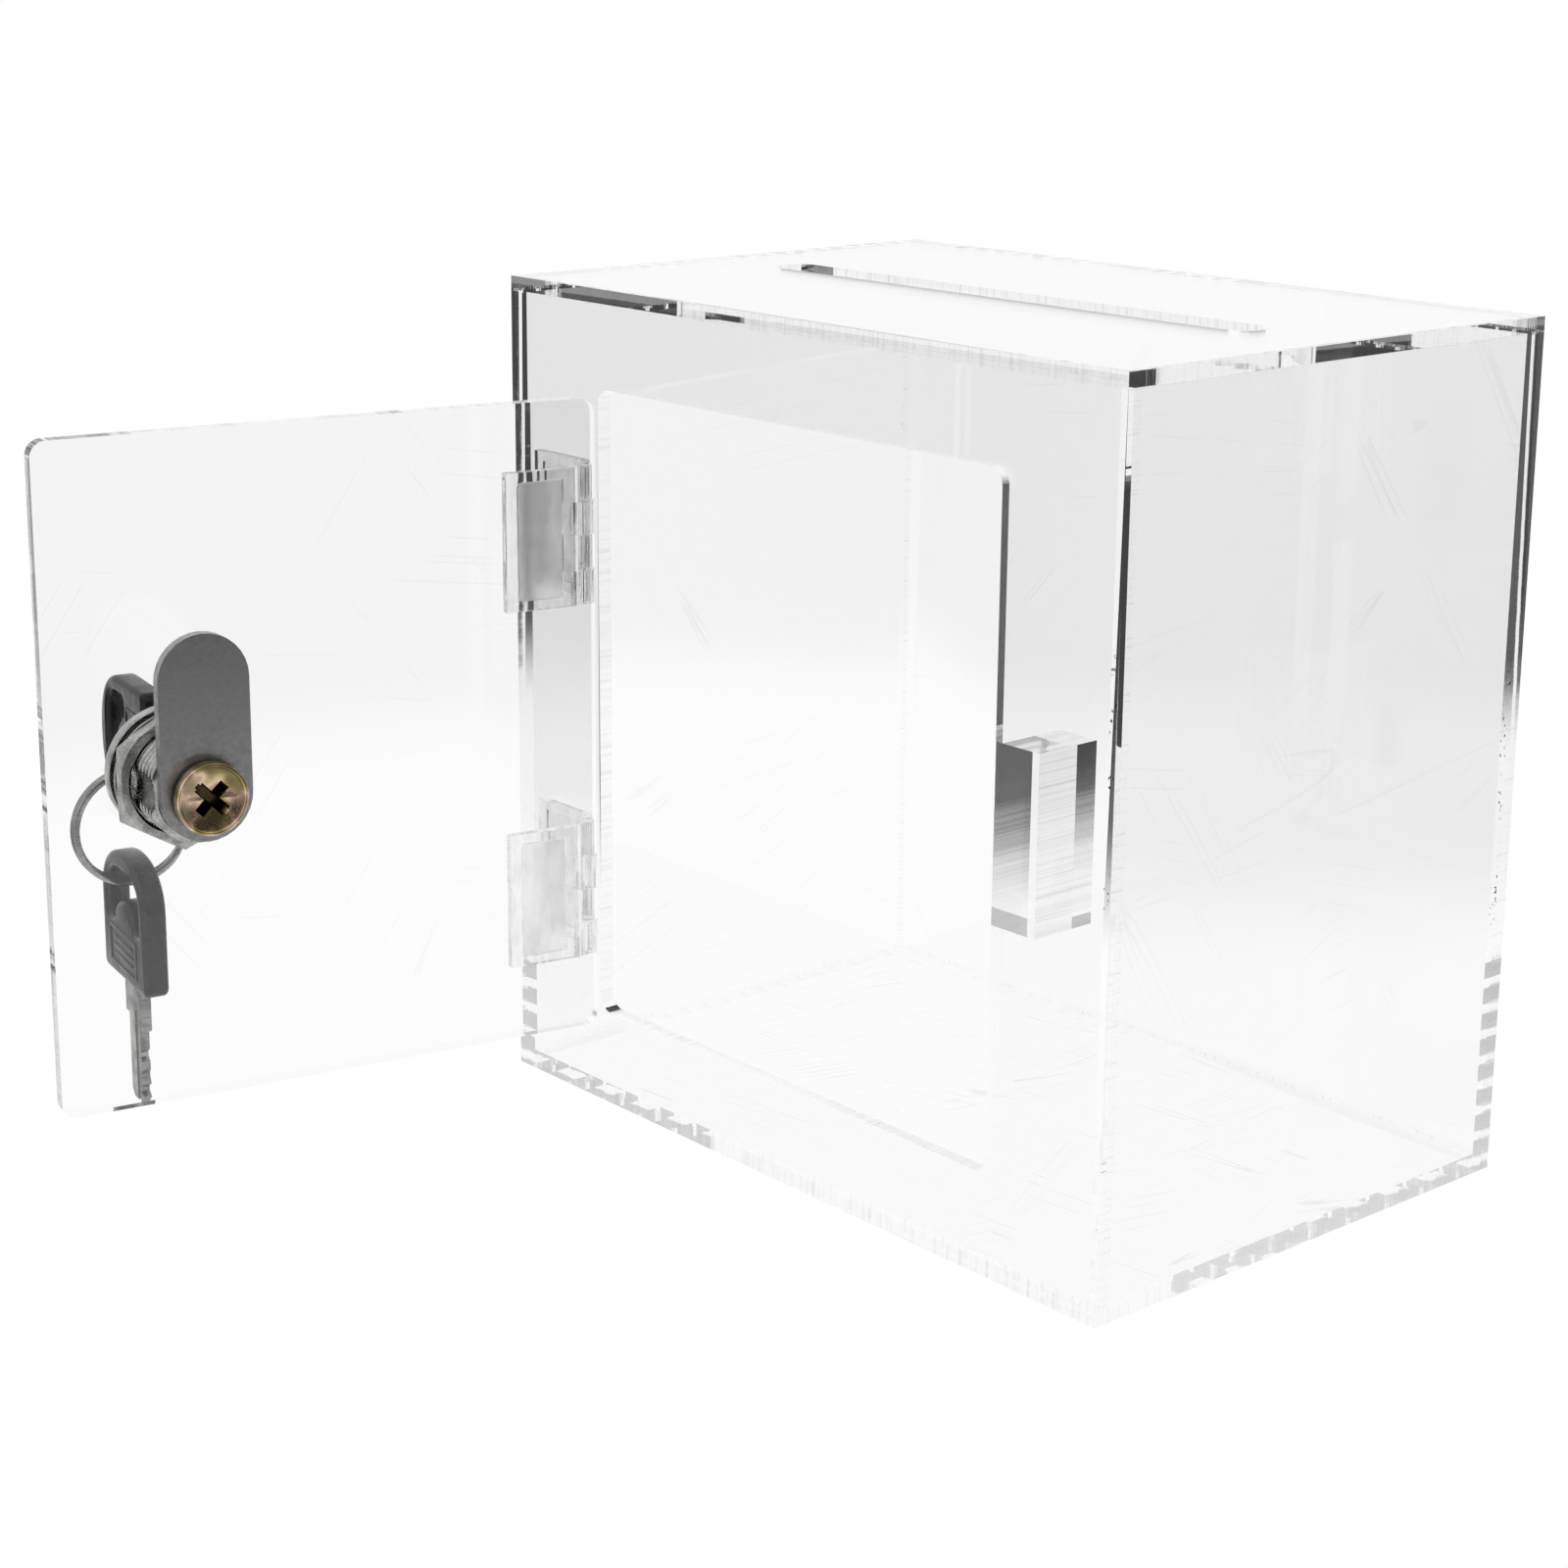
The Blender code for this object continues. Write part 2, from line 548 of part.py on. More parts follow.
def build_keys(plastic, steel, lock_axis, ring_axis, spare_axis):
    # The inserted key lies along the lock's axis, its bow upright; the spare hangs below the ring.
    key_bow("key_bow", plastic, lock_axis, (0, BOW_TOP, 0), lambda a, b, c: (c, b, a))
    key_blade("key_blade", steel, lock_axis, (0, BOW_TOP, 0), lambda a, b, c: (c, b, a))

    wire = RING_WIRE / 2
    edge = 0.5 * MM
    section = [(RING_RADIUS - wire, -wire + edge), (RING_RADIUS - wire + edge, -wire),
               (RING_RADIUS + wire - edge, -wire), (RING_RADIUS + wire, -wire + edge),
               (RING_RADIUS + wire, wire - edge), (RING_RADIUS + wire - edge, wire),
               (RING_RADIUS - wire + edge, wire), (RING_RADIUS - wire, wire - edge)]
    ring = add("key_ring", turned(section, 56), steel, ring_axis, (0, 0, -RING_DROP))
    round_shading(ring, 50)

    inside = RING_RADIUS - wire
    curve = inside - math.sqrt(inside ** 2 - (BOW_THICKNESS / 2) ** 2)
    dome_top = wire + curve + JOINT + BOW_CROWN
    key_bow("spare_key_bow", plastic, spare_axis, (0, 0, dome_top), lambda a, b, c: (c, a, -b))
    key_blade("spare_key_blade", steel, spare_axis, (0, 0, dome_top), lambda a, b, c: (c, a, -b))


# ---- assembly -------------------------------------------------------------------------------------------
def main():
    clear_scene()
    acrylic = material("clear_acrylic", (0.96, 0.97, 0.97), 0.03, clear=1.0)
    clear = material("clear_moulded_plastic", (0.93, 0.94, 0.94), 0.08, clear=1.0)
    zinc = material("nickel_plated_zinc", (0.72, 0.72, 0.71), 0.25, 1.0)
    brass = material("plug_brass", (0.75, 0.70, 0.55), 0.35, 1.0)
    steel = material("satin_steel", (0.42, 0.42, 0.41), 0.4, 1.0)
    yellow_zinc = material("yellow_zinc", (0.62, 0.50, 0.26), 0.25, 1.0)
    plastic = material("black_bow_plastic", (0.03, 0.03, 0.032), 0.45)

    hinge_at = (-OPENING_WIDTH / 2 - HINGE_LEFT_OF_OPENING, -BOX_DEPTH / 2 - HINGE_STANDOFF, 0)
    frame_axis = empty("frame_hinge_axis", hinge_at)
    door_axis = empty("door_hinge_axis", hinge_at, turn_z=-DOOR_OPEN)
    lock_axis = empty("lock_axis", (LOCK_REACH, 0, OPENING_MIDDLE), door_axis)
    ring_axis = empty("ring_axis", (0, BOW_TOP + RING_BELOW_DOME, -RING_PIVOT_DROP), lock_axis)
    spare_axis = empty("spare_key_axis", (0, 0, -RING_DROP - RING_RADIUS), ring_axis)

    build_box(acrylic)
    build_hinges(clear, frame_axis, door_axis)
    build_door(acrylic, door_axis)
    build_lock_body(zinc, lock_axis)
    build_plug(brass, steel, lock_axis)
    build_cam(steel, yellow_zinc, lock_axis)
    build_keys(plastic, steel, lock_axis, ring_axis, spare_axis)


main()
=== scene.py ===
"""A clear acrylic donation box with its door open, its cam lock, and two keys on a split ring.

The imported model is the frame: every piece takes its place from the model's nodes and joints, in metres.
"""
import json
import logging
import math
from dataclasses import dataclass, field
from enum import Enum
from typing import Callable, Iterable, Optional, Sequence

import bmesh
import bpy
from mathutils import Matrix, Vector
from mathutils.geometry import tessellate_polygon


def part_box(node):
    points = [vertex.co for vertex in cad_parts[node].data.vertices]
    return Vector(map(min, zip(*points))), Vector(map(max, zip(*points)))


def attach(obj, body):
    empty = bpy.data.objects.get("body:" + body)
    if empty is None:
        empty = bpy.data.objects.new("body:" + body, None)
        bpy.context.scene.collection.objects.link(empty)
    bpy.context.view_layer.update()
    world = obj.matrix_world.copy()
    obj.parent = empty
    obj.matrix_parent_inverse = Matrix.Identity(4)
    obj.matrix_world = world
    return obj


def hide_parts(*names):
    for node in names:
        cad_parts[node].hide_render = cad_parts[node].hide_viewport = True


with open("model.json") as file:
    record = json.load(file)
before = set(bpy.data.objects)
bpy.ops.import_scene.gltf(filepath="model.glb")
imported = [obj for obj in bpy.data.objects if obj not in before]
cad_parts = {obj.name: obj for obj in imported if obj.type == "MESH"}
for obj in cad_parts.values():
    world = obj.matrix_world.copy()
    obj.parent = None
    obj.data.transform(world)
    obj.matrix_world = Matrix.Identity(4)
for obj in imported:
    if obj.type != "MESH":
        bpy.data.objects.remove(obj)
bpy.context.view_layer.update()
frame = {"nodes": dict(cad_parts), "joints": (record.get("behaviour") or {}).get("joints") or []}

log = logging.getLogger("donation_box")

MM = 0.001
Point2 = tuple[float, float]
Point3 = tuple[float, float, float]
Loop = list[Point2]


# ---- small helpers ---------------------------------------------------------------------------------------
def linear(hex_colour: str) -> tuple[float, float, float, float]:
    """Turns an sRGB hex colour into linear light.

    Args:
        hex_colour: Six hex digits with a leading #.

    Returns:
        Red, green, blue and an alpha of one.
    """
    parts = [int(hex_colour[i:i + 2], 16) / 255 for i in (1, 3, 5)]
    light = [c / 12.92 if c <= 0.04045 else ((c + 0.055) / 1.055) ** 2.4 for c in parts]
    return light[0], light[1], light[2], 1.0


def add_node(tree: bpy.types.NodeTree, kind: str, inputs: Optional[dict] = None,
             links: Optional[dict] = None, **settings: object) -> bpy.types.Node:
    """Adds a node, sets it and links it.

    Args:
        tree: The node tree that the node joins.
        kind: Blender's name of the node type, without its ShaderNode prefix.
        inputs: Input name or number to a fixed value.
        links: Input name or number to the output socket that feeds it.
        settings: The node's own properties.

    Returns:
        The new node.
    """
    made = tree.nodes.new("ShaderNode" + kind)
    for key, value in settings.items():
        setattr(made, key, value)
    for key, value in (inputs or {}).items():
        made.inputs[key].default_value = value
    for key, socket in (links or {}).items():
        tree.links.new(socket, made.inputs[key])
    return made


def arc(centre: Point2, radius: float, start: float, end: float, steps: int) -> Loop:
    """Lists points along a circular arc.

    Args:
        centre: The circle's middle.
        radius: Its radius in metres.
        start: The first angle in degrees.
        end: The last angle in degrees.
        steps: How many straight steps the arc takes.

    Returns:
        The points, both ends included.
    """
    span = end - start
    return [(centre[0] + radius * math.cos(math.radians(start + span * i / steps)),
             centre[1] + radius * math.sin(math.radians(start + span * i / steps))) for i in range(steps + 1)]


def rounded_rectangle(low: Point2, high: Point2, radius: float, steps: int = 10) -> Loop:
    """Lists the outline of a rectangle with round corners, counter-clockwise from its right side."""
    (x0, y0), (x1, y1) = low, high
    return (arc((x1 - radius, y1 - radius), radius, 0, 90, steps)
            + arc((x0 + radius, y1 - radius), radius, 90, 180, steps)
            + arc((x0 + radius, y0 + radius), radius, 180, 270, steps)
            + arc((x1 - radius, y0 + radius), radius, 270, 360, steps))


class Plane(Enum):
    """Which way a flat plate faces: the axis across its thickness."""

    X = "x"
    Y = "y"
    Z = "z"

    def place(self, a: float, b: float, depth: float) -> Point3:
        """Turns a point of the plate's outline and a depth into x, y, z."""
        return {"x": (depth, a, b), "y": (a, depth, b), "z": (a, b, depth)}[self.value]


@dataclass
class Patch:
    """A flat area of a plate: its outline, the holes in it, and its material slot's number."""

    outline: Loop
    holes: list[Loop] = field(default_factory=list)
    slot: int = 0


@dataclass
class Plate:
    """A flat plate whose two faces are made of patches and whose walls follow loops.

    Attributes:
        plane: The axis across the thickness.
        low: Depth of the first face.
        high: Depth of the second face.
        low_face: The first face's patches.
        high_face: The second face's patches.
        walls: Closed loops along which a wall joins the faces, each with its material slot's number.
    """

    plane: Plane
    low: float
    high: float
    low_face: list[Patch]
    high_face: list[Patch]
    walls: list[tuple[Loop, int]]

    def mesh(self) -> bmesh.types.BMesh:
        """Builds the closed plate."""
        bm = bmesh.new()
        for depth, patches in ((self.low, self.low_face), (self.high, self.high_face)):
            for patch in patches:
                self._fill(bm, patch, depth)
        for loop, slot in self.walls:
            for one, two in zip(loop, loop[1:] + loop[:1]):
                if math.dist(one, two) < 1e-9:
                    continue
                corners = [(one, self.low), (two, self.low), (two, self.high), (one, self.high)]
                face = bm.faces.new([bm.verts.new(self.plane.place(*p, depth)) for p, depth in corners])
                face.material_index = slot
        bmesh.ops.remove_doubles(bm, verts=bm.verts, dist=1e-6)
        bmesh.ops.recalc_face_normals(bm, faces=bm.faces)
        return bm

    def _fill(self, bm: bmesh.types.BMesh, patch: Patch, depth: float) -> None:
        """Fills one patch with triangles, leaving its holes open."""
        loops = [patch.outline, *patch.holes]
        points = [p for loop in loops for p in loop]
        verts = [bm.verts.new(self.plane.place(*p, depth)) for p in points]
        flat = [[Vector((*p, 0.0)) for p in loop] for loop in loops]
        for triangle in tessellate_polygon(flat):
            face = bm.faces.new([verts[i] for i in triangle])
            face.material_index = patch.slot


def rectangle(x0: float, y0: float, x1: float, y1: float) -> Loop:
    """Lists a rectangle's four corners."""
    return [(x0, y0), (x1, y0), (x1, y1), (x0, y1)]


def piece(name: str, bm: bmesh.types.BMesh, materials: Sequence[bpy.types.Material], body: str,
          replaces: Iterable[str] = (), place: Optional[Matrix] = None,
          smooth: Optional[float] = None) -> bpy.types.Object:
    """Turns a mesh into a finished piece that rides on a body.

    Args:
        name: The piece's name.
        bm: Its mesh, which is freed.
        materials: The materials for its slots.
        body: The body that carries it.
        replaces: The nodes that it stands for.
        place: Where its own axes stand in the frame.
        smooth: The largest angle in degrees that is shaded smooth.

    Returns:
        The new object.
    """
    mesh = bpy.data.meshes.new(name)
    bm.to_mesh(mesh)
    bm.free()
    for material in materials:
        mesh.materials.append(material)
    if smooth is not None:
        mesh.shade_smooth()
        mesh.set_sharp_from_angle(angle=math.radians(smooth))
    made = bpy.data.objects.new(name, mesh)
    bpy.context.scene.collection.objects.link(made)
    if place is not None:
        made.matrix_world = place
    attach(made, body)
    if replaces:
        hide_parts(*replaces)
    log.info("%s: %d faces, rides on %s", name, len(mesh.polygons), body)
    return made


def dress(node: str, material: bpy.types.Material, round_edge: float = 0.0,
          segments: int = 2) -> None:
    """Gives a carried-over node its material, and rounds its edges.

    Args:
        node: The node's name.
        material: Its new material.
        round_edge: Width of the rounding in metres, or zero for none.
        segments: Straight steps in the rounding.
    """
    made = frame["nodes"][node]
    made.data.materials.clear()
    made.data.materials.append(material)
    if round_edge:
        step = made.modifiers.new("edge", "BEVEL")
        step.width, step.segments = round_edge, segments
        step.limit_method, step.angle_limit = "ANGLE", math.radians(40)
        step.harden_normals = True
    log.info("%s: %s", node, material.name)


def inset(loop: Loop, distance: float) -> Loop:
    """Moves an outline towards its left side, keeping its corners.

    Args:
        loop: The outline, which has the material on its left.
        distance: How far it moves, in metres.

    Returns:
        The moved outline, point for point.
    """
    moved = []
    for before, here, after in zip(loop[-1:] + loop[:-1], loop, loop[1:] + loop[:1]):
        one = Vector(here) - Vector(before)
        two = Vector(after) - Vector(here)
        left_one, left_two = Vector((-one.y, one.x)).normalized(), Vector((-two.y, two.x)).normalized()
        corner = (left_one + left_two) / max(1 + left_one.dot(left_two), 0.3)
        moved.append((here[0] + corner.x * distance, here[1] + corner.y * distance))
    return moved


def turn_way(loop: Loop, counter_clockwise: bool) -> Loop:
    """Puts an outline's points in the asked order, without doubled points."""
    clean = [p for i, p in enumerate(loop) if math.dist(p, loop[i - 1]) > 1e-6]
    area = sum(a[0] * b[1] - b[0] * a[1] for a, b in zip(clean, clean[1:] + clean[:1]))
    return clean if (area > 0) == counter_clockwise else clean[::-1]


@dataclass
class SoftPlate:
    """A flat plate in x and y, with round edges all round its outline and its holes.

    Attributes:
        outline: Its outside.
        low: Height of the lower face.
        high: Height of the upper face.
        rounding: Radius of the edges.
        holes: Outlines of the holes through it.
        steps: Straight steps in each rounded edge.
    """

    outline: Loop
    low: float
    high: float
    rounding: float
    holes: list[Loop] = field(default_factory=list)
    steps: int = 4

    def mesh(self) -> bmesh.types.BMesh:
        """Builds the closed plate."""
        bm = bmesh.new()
        loops = [turn_way(self.outline, True)] + [turn_way(hole, False) for hole in self.holes]
        rims: tuple[list, list] = ([], [])
        for loop in loops:
            layers = self._layers(bm, loop)
            for one, two in zip(layers, layers[1:]):
                for i in range(len(loop)):
                    bm.faces.new((one[i - 1], one[i], two[i], two[i - 1]))
            rims[0].append(layers[0])
            rims[1].append(layers[-1])
        for rim in rims:
            verts = [v for ring in rim for v in ring]
            for triangle in tessellate_polygon([[v.co for v in ring] for ring in rim]):
                bm.faces.new([verts[i] for i in triangle])
        bmesh.ops.recalc_face_normals(bm, faces=bm.faces)
        return bm

    def _layers(self, bm: bmesh.types.BMesh, loop: Loop) -> list[list[bmesh.types.BMVert]]:
        """Stacks one outline from the lower face to the upper one."""
        turns = [90 * i / self.steps for i in range(self.steps + 1)]
        lower = [(self.rounding * (1 - math.sin(math.radians(t))),
                  self.low + self.rounding * (1 - math.cos(math.radians(t)))) for t in turns]
        upper = [(in_by, self.high - (z - self.low)) for in_by, z in reversed(lower)]
        return [[bm.verts.new((*p, z)) for p in inset(loop, in_by)] for in_by, z in lower + upper]


def lathe(profile_at: Callable[[float], list[Point2]], steps: int, closed: bool = True) -> bmesh.types.BMesh:
    """Builds a turned shape round the y axis, whose profile may change with the angle.

    Args:
        profile_at: Gives the profile at an angle in radians, as (radius, along) pairs.
        steps: How many angles there are.
        closed: True for a hollow shape, whose profile is a loop; else its ends lie on the axis.

    Returns:
        The closed mesh.
    """
    bm = bmesh.new()
    columns = []
    for i in range(steps):
        angle = math.tau * i / steps
        c, s = math.cos(angle), math.sin(angle)
        columns.append([bm.verts.new((r * c, along, r * s)) for r, along in profile_at(angle)])
    rows = len(columns[0])
    for i in range(steps):
        one, two = columns[i - 1], columns[i]
        for k in range(rows if closed else rows - 1):
            bm.faces.new((one[k - 1 if closed else k + 1], one[k], two[k], two[k - 1 if closed else k + 1]))
    bmesh.ops.remove_doubles(bm, verts=bm.verts, dist=1e-7)
    bmesh.ops.dissolve_degenerate(bm, edges=bm.edges, dist=1e-7)
    bmesh.ops.recalc_face_normals(bm, faces=bm.faces)
    return bm


def carve(bm: bmesh.types.BMesh, cutters: Iterable[bmesh.types.BMesh]) -> bmesh.types.BMesh:
    """Cuts solids out of a mesh.

    Args:
        bm: The mesh, which is freed.
        cutters: The solids to cut out of it, which are freed.

    Returns:
        What is left.
    """
    def stand_in(source: bmesh.types.BMesh) -> bpy.types.Object:
        """Makes a short-lived object of a mesh."""
        mesh = bpy.data.meshes.new("carving")
        source.to_mesh(mesh)
        source.free()
        made = bpy.data.objects.new("carving", mesh)
        bpy.context.scene.collection.objects.link(made)
        return made

    target = stand_in(bm)
    tools = [stand_in(cutter) for cutter in cutters]
    for tool in tools:
        step = target.modifiers.new("cut", "BOOLEAN")
        step.operation, step.solver, step.object = "DIFFERENCE", "EXACT", tool
    graph = bpy.context.evaluated_depsgraph_get()
    left = bmesh.new()
    left.from_object(target, graph)
    for used in [target, *tools]:
        mesh = used.data
        bpy.data.objects.remove(used, do_unlink=True)
        bpy.data.meshes.remove(mesh)
    return left


def add_mesh(bm: bmesh.types.BMesh, other: bmesh.types.BMesh, slot: int = 0) -> None:
    """Puts another mesh into a mesh as a further solid, which is freed."""
    mesh = bpy.data.meshes.new("part")
    other.to_mesh(mesh)
    other.free()
    first = len(bm.faces)
    bm.from_mesh(mesh)
    bm.faces.ensure_lookup_table()
    for face in bm.faces[first:]:
        face.material_index = slot
    bpy.data.meshes.remove(mesh)


def joint_axes(joint: str, height: Optional[float] = None) -> Matrix:
    """Finds the axes of the open door at a joint: x to its free edge, y through it inwards, z up.

    Args:
        joint: The joint whose place is the origin.
        height: The origin's height, or the joint's own.

    Returns:
        The matrix from those axes to the frame's.
    """
    joints = {row["name"]: row for row in frame["joints"]}
    inwards = Vector(joints["lock_turn"]["axis"])
    up = Vector((0, 0, 1))
    at = Vector(joints[joint]["pos_m"])
    if height is not None:
        at.z = height
    turn = Matrix((inwards.cross(up), inwards, up)).transposed()
    return Matrix.Translation(at) @ turn.to_4x4()


# ---- finishes --------------------------------------------------------------------------------------------
SMOOTH = {"interpolation_type": "SMOOTHSTEP"}
EVERY_WAY = (1.0, 1.0, 1.0)
# Between these two values of a noise a surface goes from its lowest roughness to its highest.
SHEEN_LIMITS = {1: 0.35, 2: 0.65}


def noise(tree: bpy.types.NodeTree, size: float, keep: Point3 = EVERY_WAY, detail: float = 2.0,
          stretch: Optional[Point3] = None) -> bpy.types.NodeSocket:
    """Makes a noise whose grains have a real size.

    Args:
        tree: The node tree.
        size: Width of a grain in metres.
        keep: One for each axis along which the noise changes, zero for each along which it doesn't.
        detail: How much finer noise lies on top.
        stretch: Turn of the grains round each axis in radians, or none.

    Returns:
        The noise's value, about 0.5 on average.
    """
    where = add_node(tree, "TexCoord").outputs["Object"]
    if stretch is not None:
        where = add_node(tree, "Mapping", {"Rotation": stretch}, {"Vector": where}).outputs[0]
    flat = add_node(tree, "VectorMath", {1: keep}, {0: where}, operation="MULTIPLY").outputs[0]
    return add_node(tree, "TexNoise", {"Scale": 1 / size, "Detail": detail}, {"Vector": flat}).outputs[0]


def shade(tree: bpy.types.NodeTree, value: bpy.types.NodeSocket, limits: Point2, one: str,
          two: str) -> bpy.types.NodeSocket:
    """Goes smoothly from one hex colour to another while a value goes from one limit to the other."""
    factor = add_node(tree, "MapRange", {1: limits[0], 2: limits[1]}, {0: value}, **SMOOTH).outputs[0]
    return add_node(tree, "Mix", {6: linear(one), 7: linear(two)}, {0: factor}, data_type="RGBA").outputs[2]


def largest(tree: bpy.types.NodeTree, values: Sequence[bpy.types.NodeSocket]) -> bpy.types.NodeSocket:
    """Gives the largest of several values."""
    found = values[0]
    for other in values[1:]:
        found = add_node(tree, "Math", {}, {0: found, 1: other}, operation="MAXIMUM").outputs[0]
    return found


def scratches(tree: bpy.types.NodeTree, turns: Sequence[Point3], size: float,
              width: float) -> bpy.types.NodeSocket:
    """Draws short hairline scratches.

    Args:
        tree: The node tree.
        turns: One turn of the scratches round each axis in radians, for each set of them.
        size: How far apart the scratches of a set lie, in metres.
        width: Width of a scratch in metres.

    Returns:
        A socket that is one in a scratch.
    """
    long_grain, broken = (1, 0.02, 0.02), {1: 0.60, 2: 0.66}
    found = []
    for turn in turns:
        line = add_node(tree, "Math", {1: 0.5}, {0: noise(tree, size, long_grain, 0, turn)},
                        operation="SUBTRACT")
        away = add_node(tree, "Math", {}, {0: line.outputs[0]}, operation="ABSOLUTE")
        thin = add_node(tree, "MapRange", {1: 0, 2: width / size, 3: 1, 4: 0}, {0: away.outputs[0]}, **SMOOTH)
        short = add_node(tree, "MapRange", broken, {0: noise(tree, 3 * size, EVERY_WAY, 1, turn)}, **SMOOTH)
        found.append(add_node(tree, "Math", {}, {0: thin.outputs[0], 1: short.outputs[0]},
                              operation="MULTIPLY").outputs[0])
    return largest(tree, found)


@dataclass(frozen=True)
class Finish:
    """What every finish shares: a name, and a material made from the surface that it draws."""

    name: str

    def build(self) -> bpy.types.Material:
        """Makes the material."""
        made = bpy.data.materials.new(self.name)
        made.use_nodes = True
        made.node_tree.nodes.clear()
        add_node(made.node_tree, "OutputMaterial", links={"Surface": self.surface(made.node_tree)})
        return made

    def surface(self, tree: bpy.types.NodeTree) -> bpy.types.NodeSocket:
        """Draws the finish's nodes and gives its shader."""
        raise NotImplementedError


@dataclass(frozen=True)
class CastAcrylic(Finish):
    """Clear cast PMMA sheet, polished as it leaves the glass mould, with the hairlines of handling.

    It gives the eye water-clear walls that grey slightly where two lie behind each other.  Real hairlines
    are about 0.02 mm wide; they are drawn wider so that they show.
    """

    name: str = "clear_cast_acrylic"
    clear: str = "#FCFCFC"
    scratched: str = "#F2F2F2"
    ior: float = 1.49
    scratch_gap: float = 9 * MM
    scratch_width: float = 0.04 * MM
    scratch_turns: tuple[Point3, ...] = ((0.3, 0.5, 0.4), (-0.6, 0.2, 1.5), (0.9, -0.4, 2.6))

    def surface(self, tree: bpy.types.NodeTree) -> bpy.types.NodeSocket:
        """Clear acrylic with slightly greyer scratches."""
        marks = scratches(tree, self.scratch_turns, self.scratch_gap, self.scratch_width)
        colour = add_node(tree, "Mix", {6: linear(self.clear), 7: linear(self.scratched)}, {0: marks},
                          data_type="RGBA")
        return add_node(tree, "BsdfPrincipled", {"Roughness": 0.0, "IOR": self.ior,
                                                 "Transmission Weight": 1.0},
                        {"Base Color": colour.outputs[2]}).outputs["BSDF"]


@dataclass(frozen=True)
class Relief:
    """Fine relief that a finish lays on its surface: the width of its grains and its real depth."""

    grain: float
    depth: float
    keep: Point3 = EVERY_WAY
    detail: float = 2

    def draw(self, tree: bpy.types.NodeTree, over: Optional[bpy.types.NodeSocket] = None) -> tuple[
            bpy.types.NodeSocket, bpy.types.NodeSocket]:
        """Draws the relief, on a normal that it lies on where there is one.

        Args:
            tree: The node tree.
            over: The normal of the relief below.

        Returns:
            The height from zero to one, and the normal.
        """
        height = noise(tree, self.grain, self.keep, self.detail)
        links = {"Height": height} if over is None else {"Height": height, "Normal": over}
        made = add_node(tree, "Bump", {"Strength": 1.0, "Distance": self.depth}, links)
        return height, made.outputs[0]


@dataclass(frozen=True)
class LaserCutEdge(Finish):
    """The same acrylic where a laser cut it: flame-bright, with fine ribs straight across the sheet.

    It gives the eye edges whose guided light breaks into soft scallops.  The beam's ribs are about 0.2 mm
    apart; they are drawn at 0.6 mm so that they show.

    Attributes:
        keep: One for the two axes along the sheet, zero for the axis across it.
    """

    keep: Point3
    clear: str = "#FAFAFA"
    ribbed: str = "#DCDCDC"
    rib_limits: Point2 = (0.5, 0.72)
    ior: float = 1.49
    roughness: float = 0.02
    rib: float = 0.6 * MM
    rib_depth: float = 0.006 * MM
    wave: float = 3.5 * MM
    wave_depth: float = 0.03 * MM

    def surface(self, tree: bpy.types.NodeTree) -> bpy.types.NodeSocket:
        """Clear acrylic with fine ribs on slow waves."""
        _, waves = Relief(self.wave, self.wave_depth, self.keep, 0).draw(tree)
        ribs, normal = Relief(self.rib, self.rib_depth, self.keep, 3).draw(tree, waves)
        colour = shade(tree, ribs, self.rib_limits, self.clear, self.ribbed)
        return add_node(tree, "BsdfPrincipled", {"Roughness": self.roughness, "IOR": self.ior,
                                                 "Transmission Weight": 1.0},
                        {"Base Color": colour, "Normal": normal}).outputs["BSDF"]


@dataclass(frozen=True)
class SolventWeld(Finish):
    """A joint where solvent has made two sheets one, with a few bubbles that it left.

    It gives the eye corners that light passes straight through, and small bright specks in them.
    """

    name: str = "solvent_weld"
    bubble: float = 0.7 * MM
    bubble_limits: Point2 = (0.71, 0.72)
    cluster: float = 22 * MM
    cluster_limits: Point2 = (0.70, 0.74)
    sound: str = "#FFFFFF"
    bubbled: str = "#F4F4F4"
    ior: float = 1.49
    roughness: float = 0.05

    def surface(self, tree: bpy.types.NodeTree) -> bpy.types.NodeSocket:
        """Nothing at all where the joint is sound, and a void's skin in each bubble."""
        masks = [add_node(tree, "MapRange", {1: low, 2: high}, {0: noise(tree, size, EVERY_WAY, 0)}, **SMOOTH)
                 for size, (low, high) in ((self.bubble, self.bubble_limits),
                                           (self.cluster, self.cluster_limits))]
        here = add_node(tree, "Math", {}, {i: mask.outputs[0] for i, mask in enumerate(masks)},
                        operation="MULTIPLY")
        clear = add_node(tree, "BsdfTransparent", {"Color": linear(self.sound)})
        void = add_node(tree, "BsdfPrincipled", {"Base Color": linear(self.bubbled), "IOR": self.ior,
                                                 "Roughness": self.roughness, "Transmission Weight": 1.0})
        return add_node(tree, "MixShader", {}, {0: here.outputs[0], 1: clear.outputs[0],
                                                2: void.outputs[0]}).outputs[0]


@dataclass(frozen=True)
class CloudyPlastic(Finish):
    """A clear plastic that is a little cloudy and uneven inside: the hinges, and the pads that hold them.

    Attributes:
        clear: Its colour where it is clear.
        cloudy: Its colour where it is cloudy.
        limits: Heights of the relief at which it is clear and fully cloudy.
        roughness: How much it blurs what lies behind it.
        ior: Its index of refraction, lower where it is bonded to what it touches.
        relief: The unevenness of its surface.
    """

    clear: str
    cloudy: str
    limits: Point2
    roughness: float
    ior: float
    relief: Relief

    def surface(self, tree: bpy.types.NodeTree) -> bpy.types.NodeSocket:
        """Clear plastic whose cloudiness follows its relief."""
        height, normal = self.relief.draw(tree)
        colour = shade(tree, height, self.limits, self.clear, self.cloudy)
        return add_node(tree, "BsdfPrincipled", {"Roughness": self.roughness, "IOR": self.ior,
                                                 "Transmission Weight": 1.0},
                        {"Base Color": colour, "Normal": normal}).outputs["BSDF"]


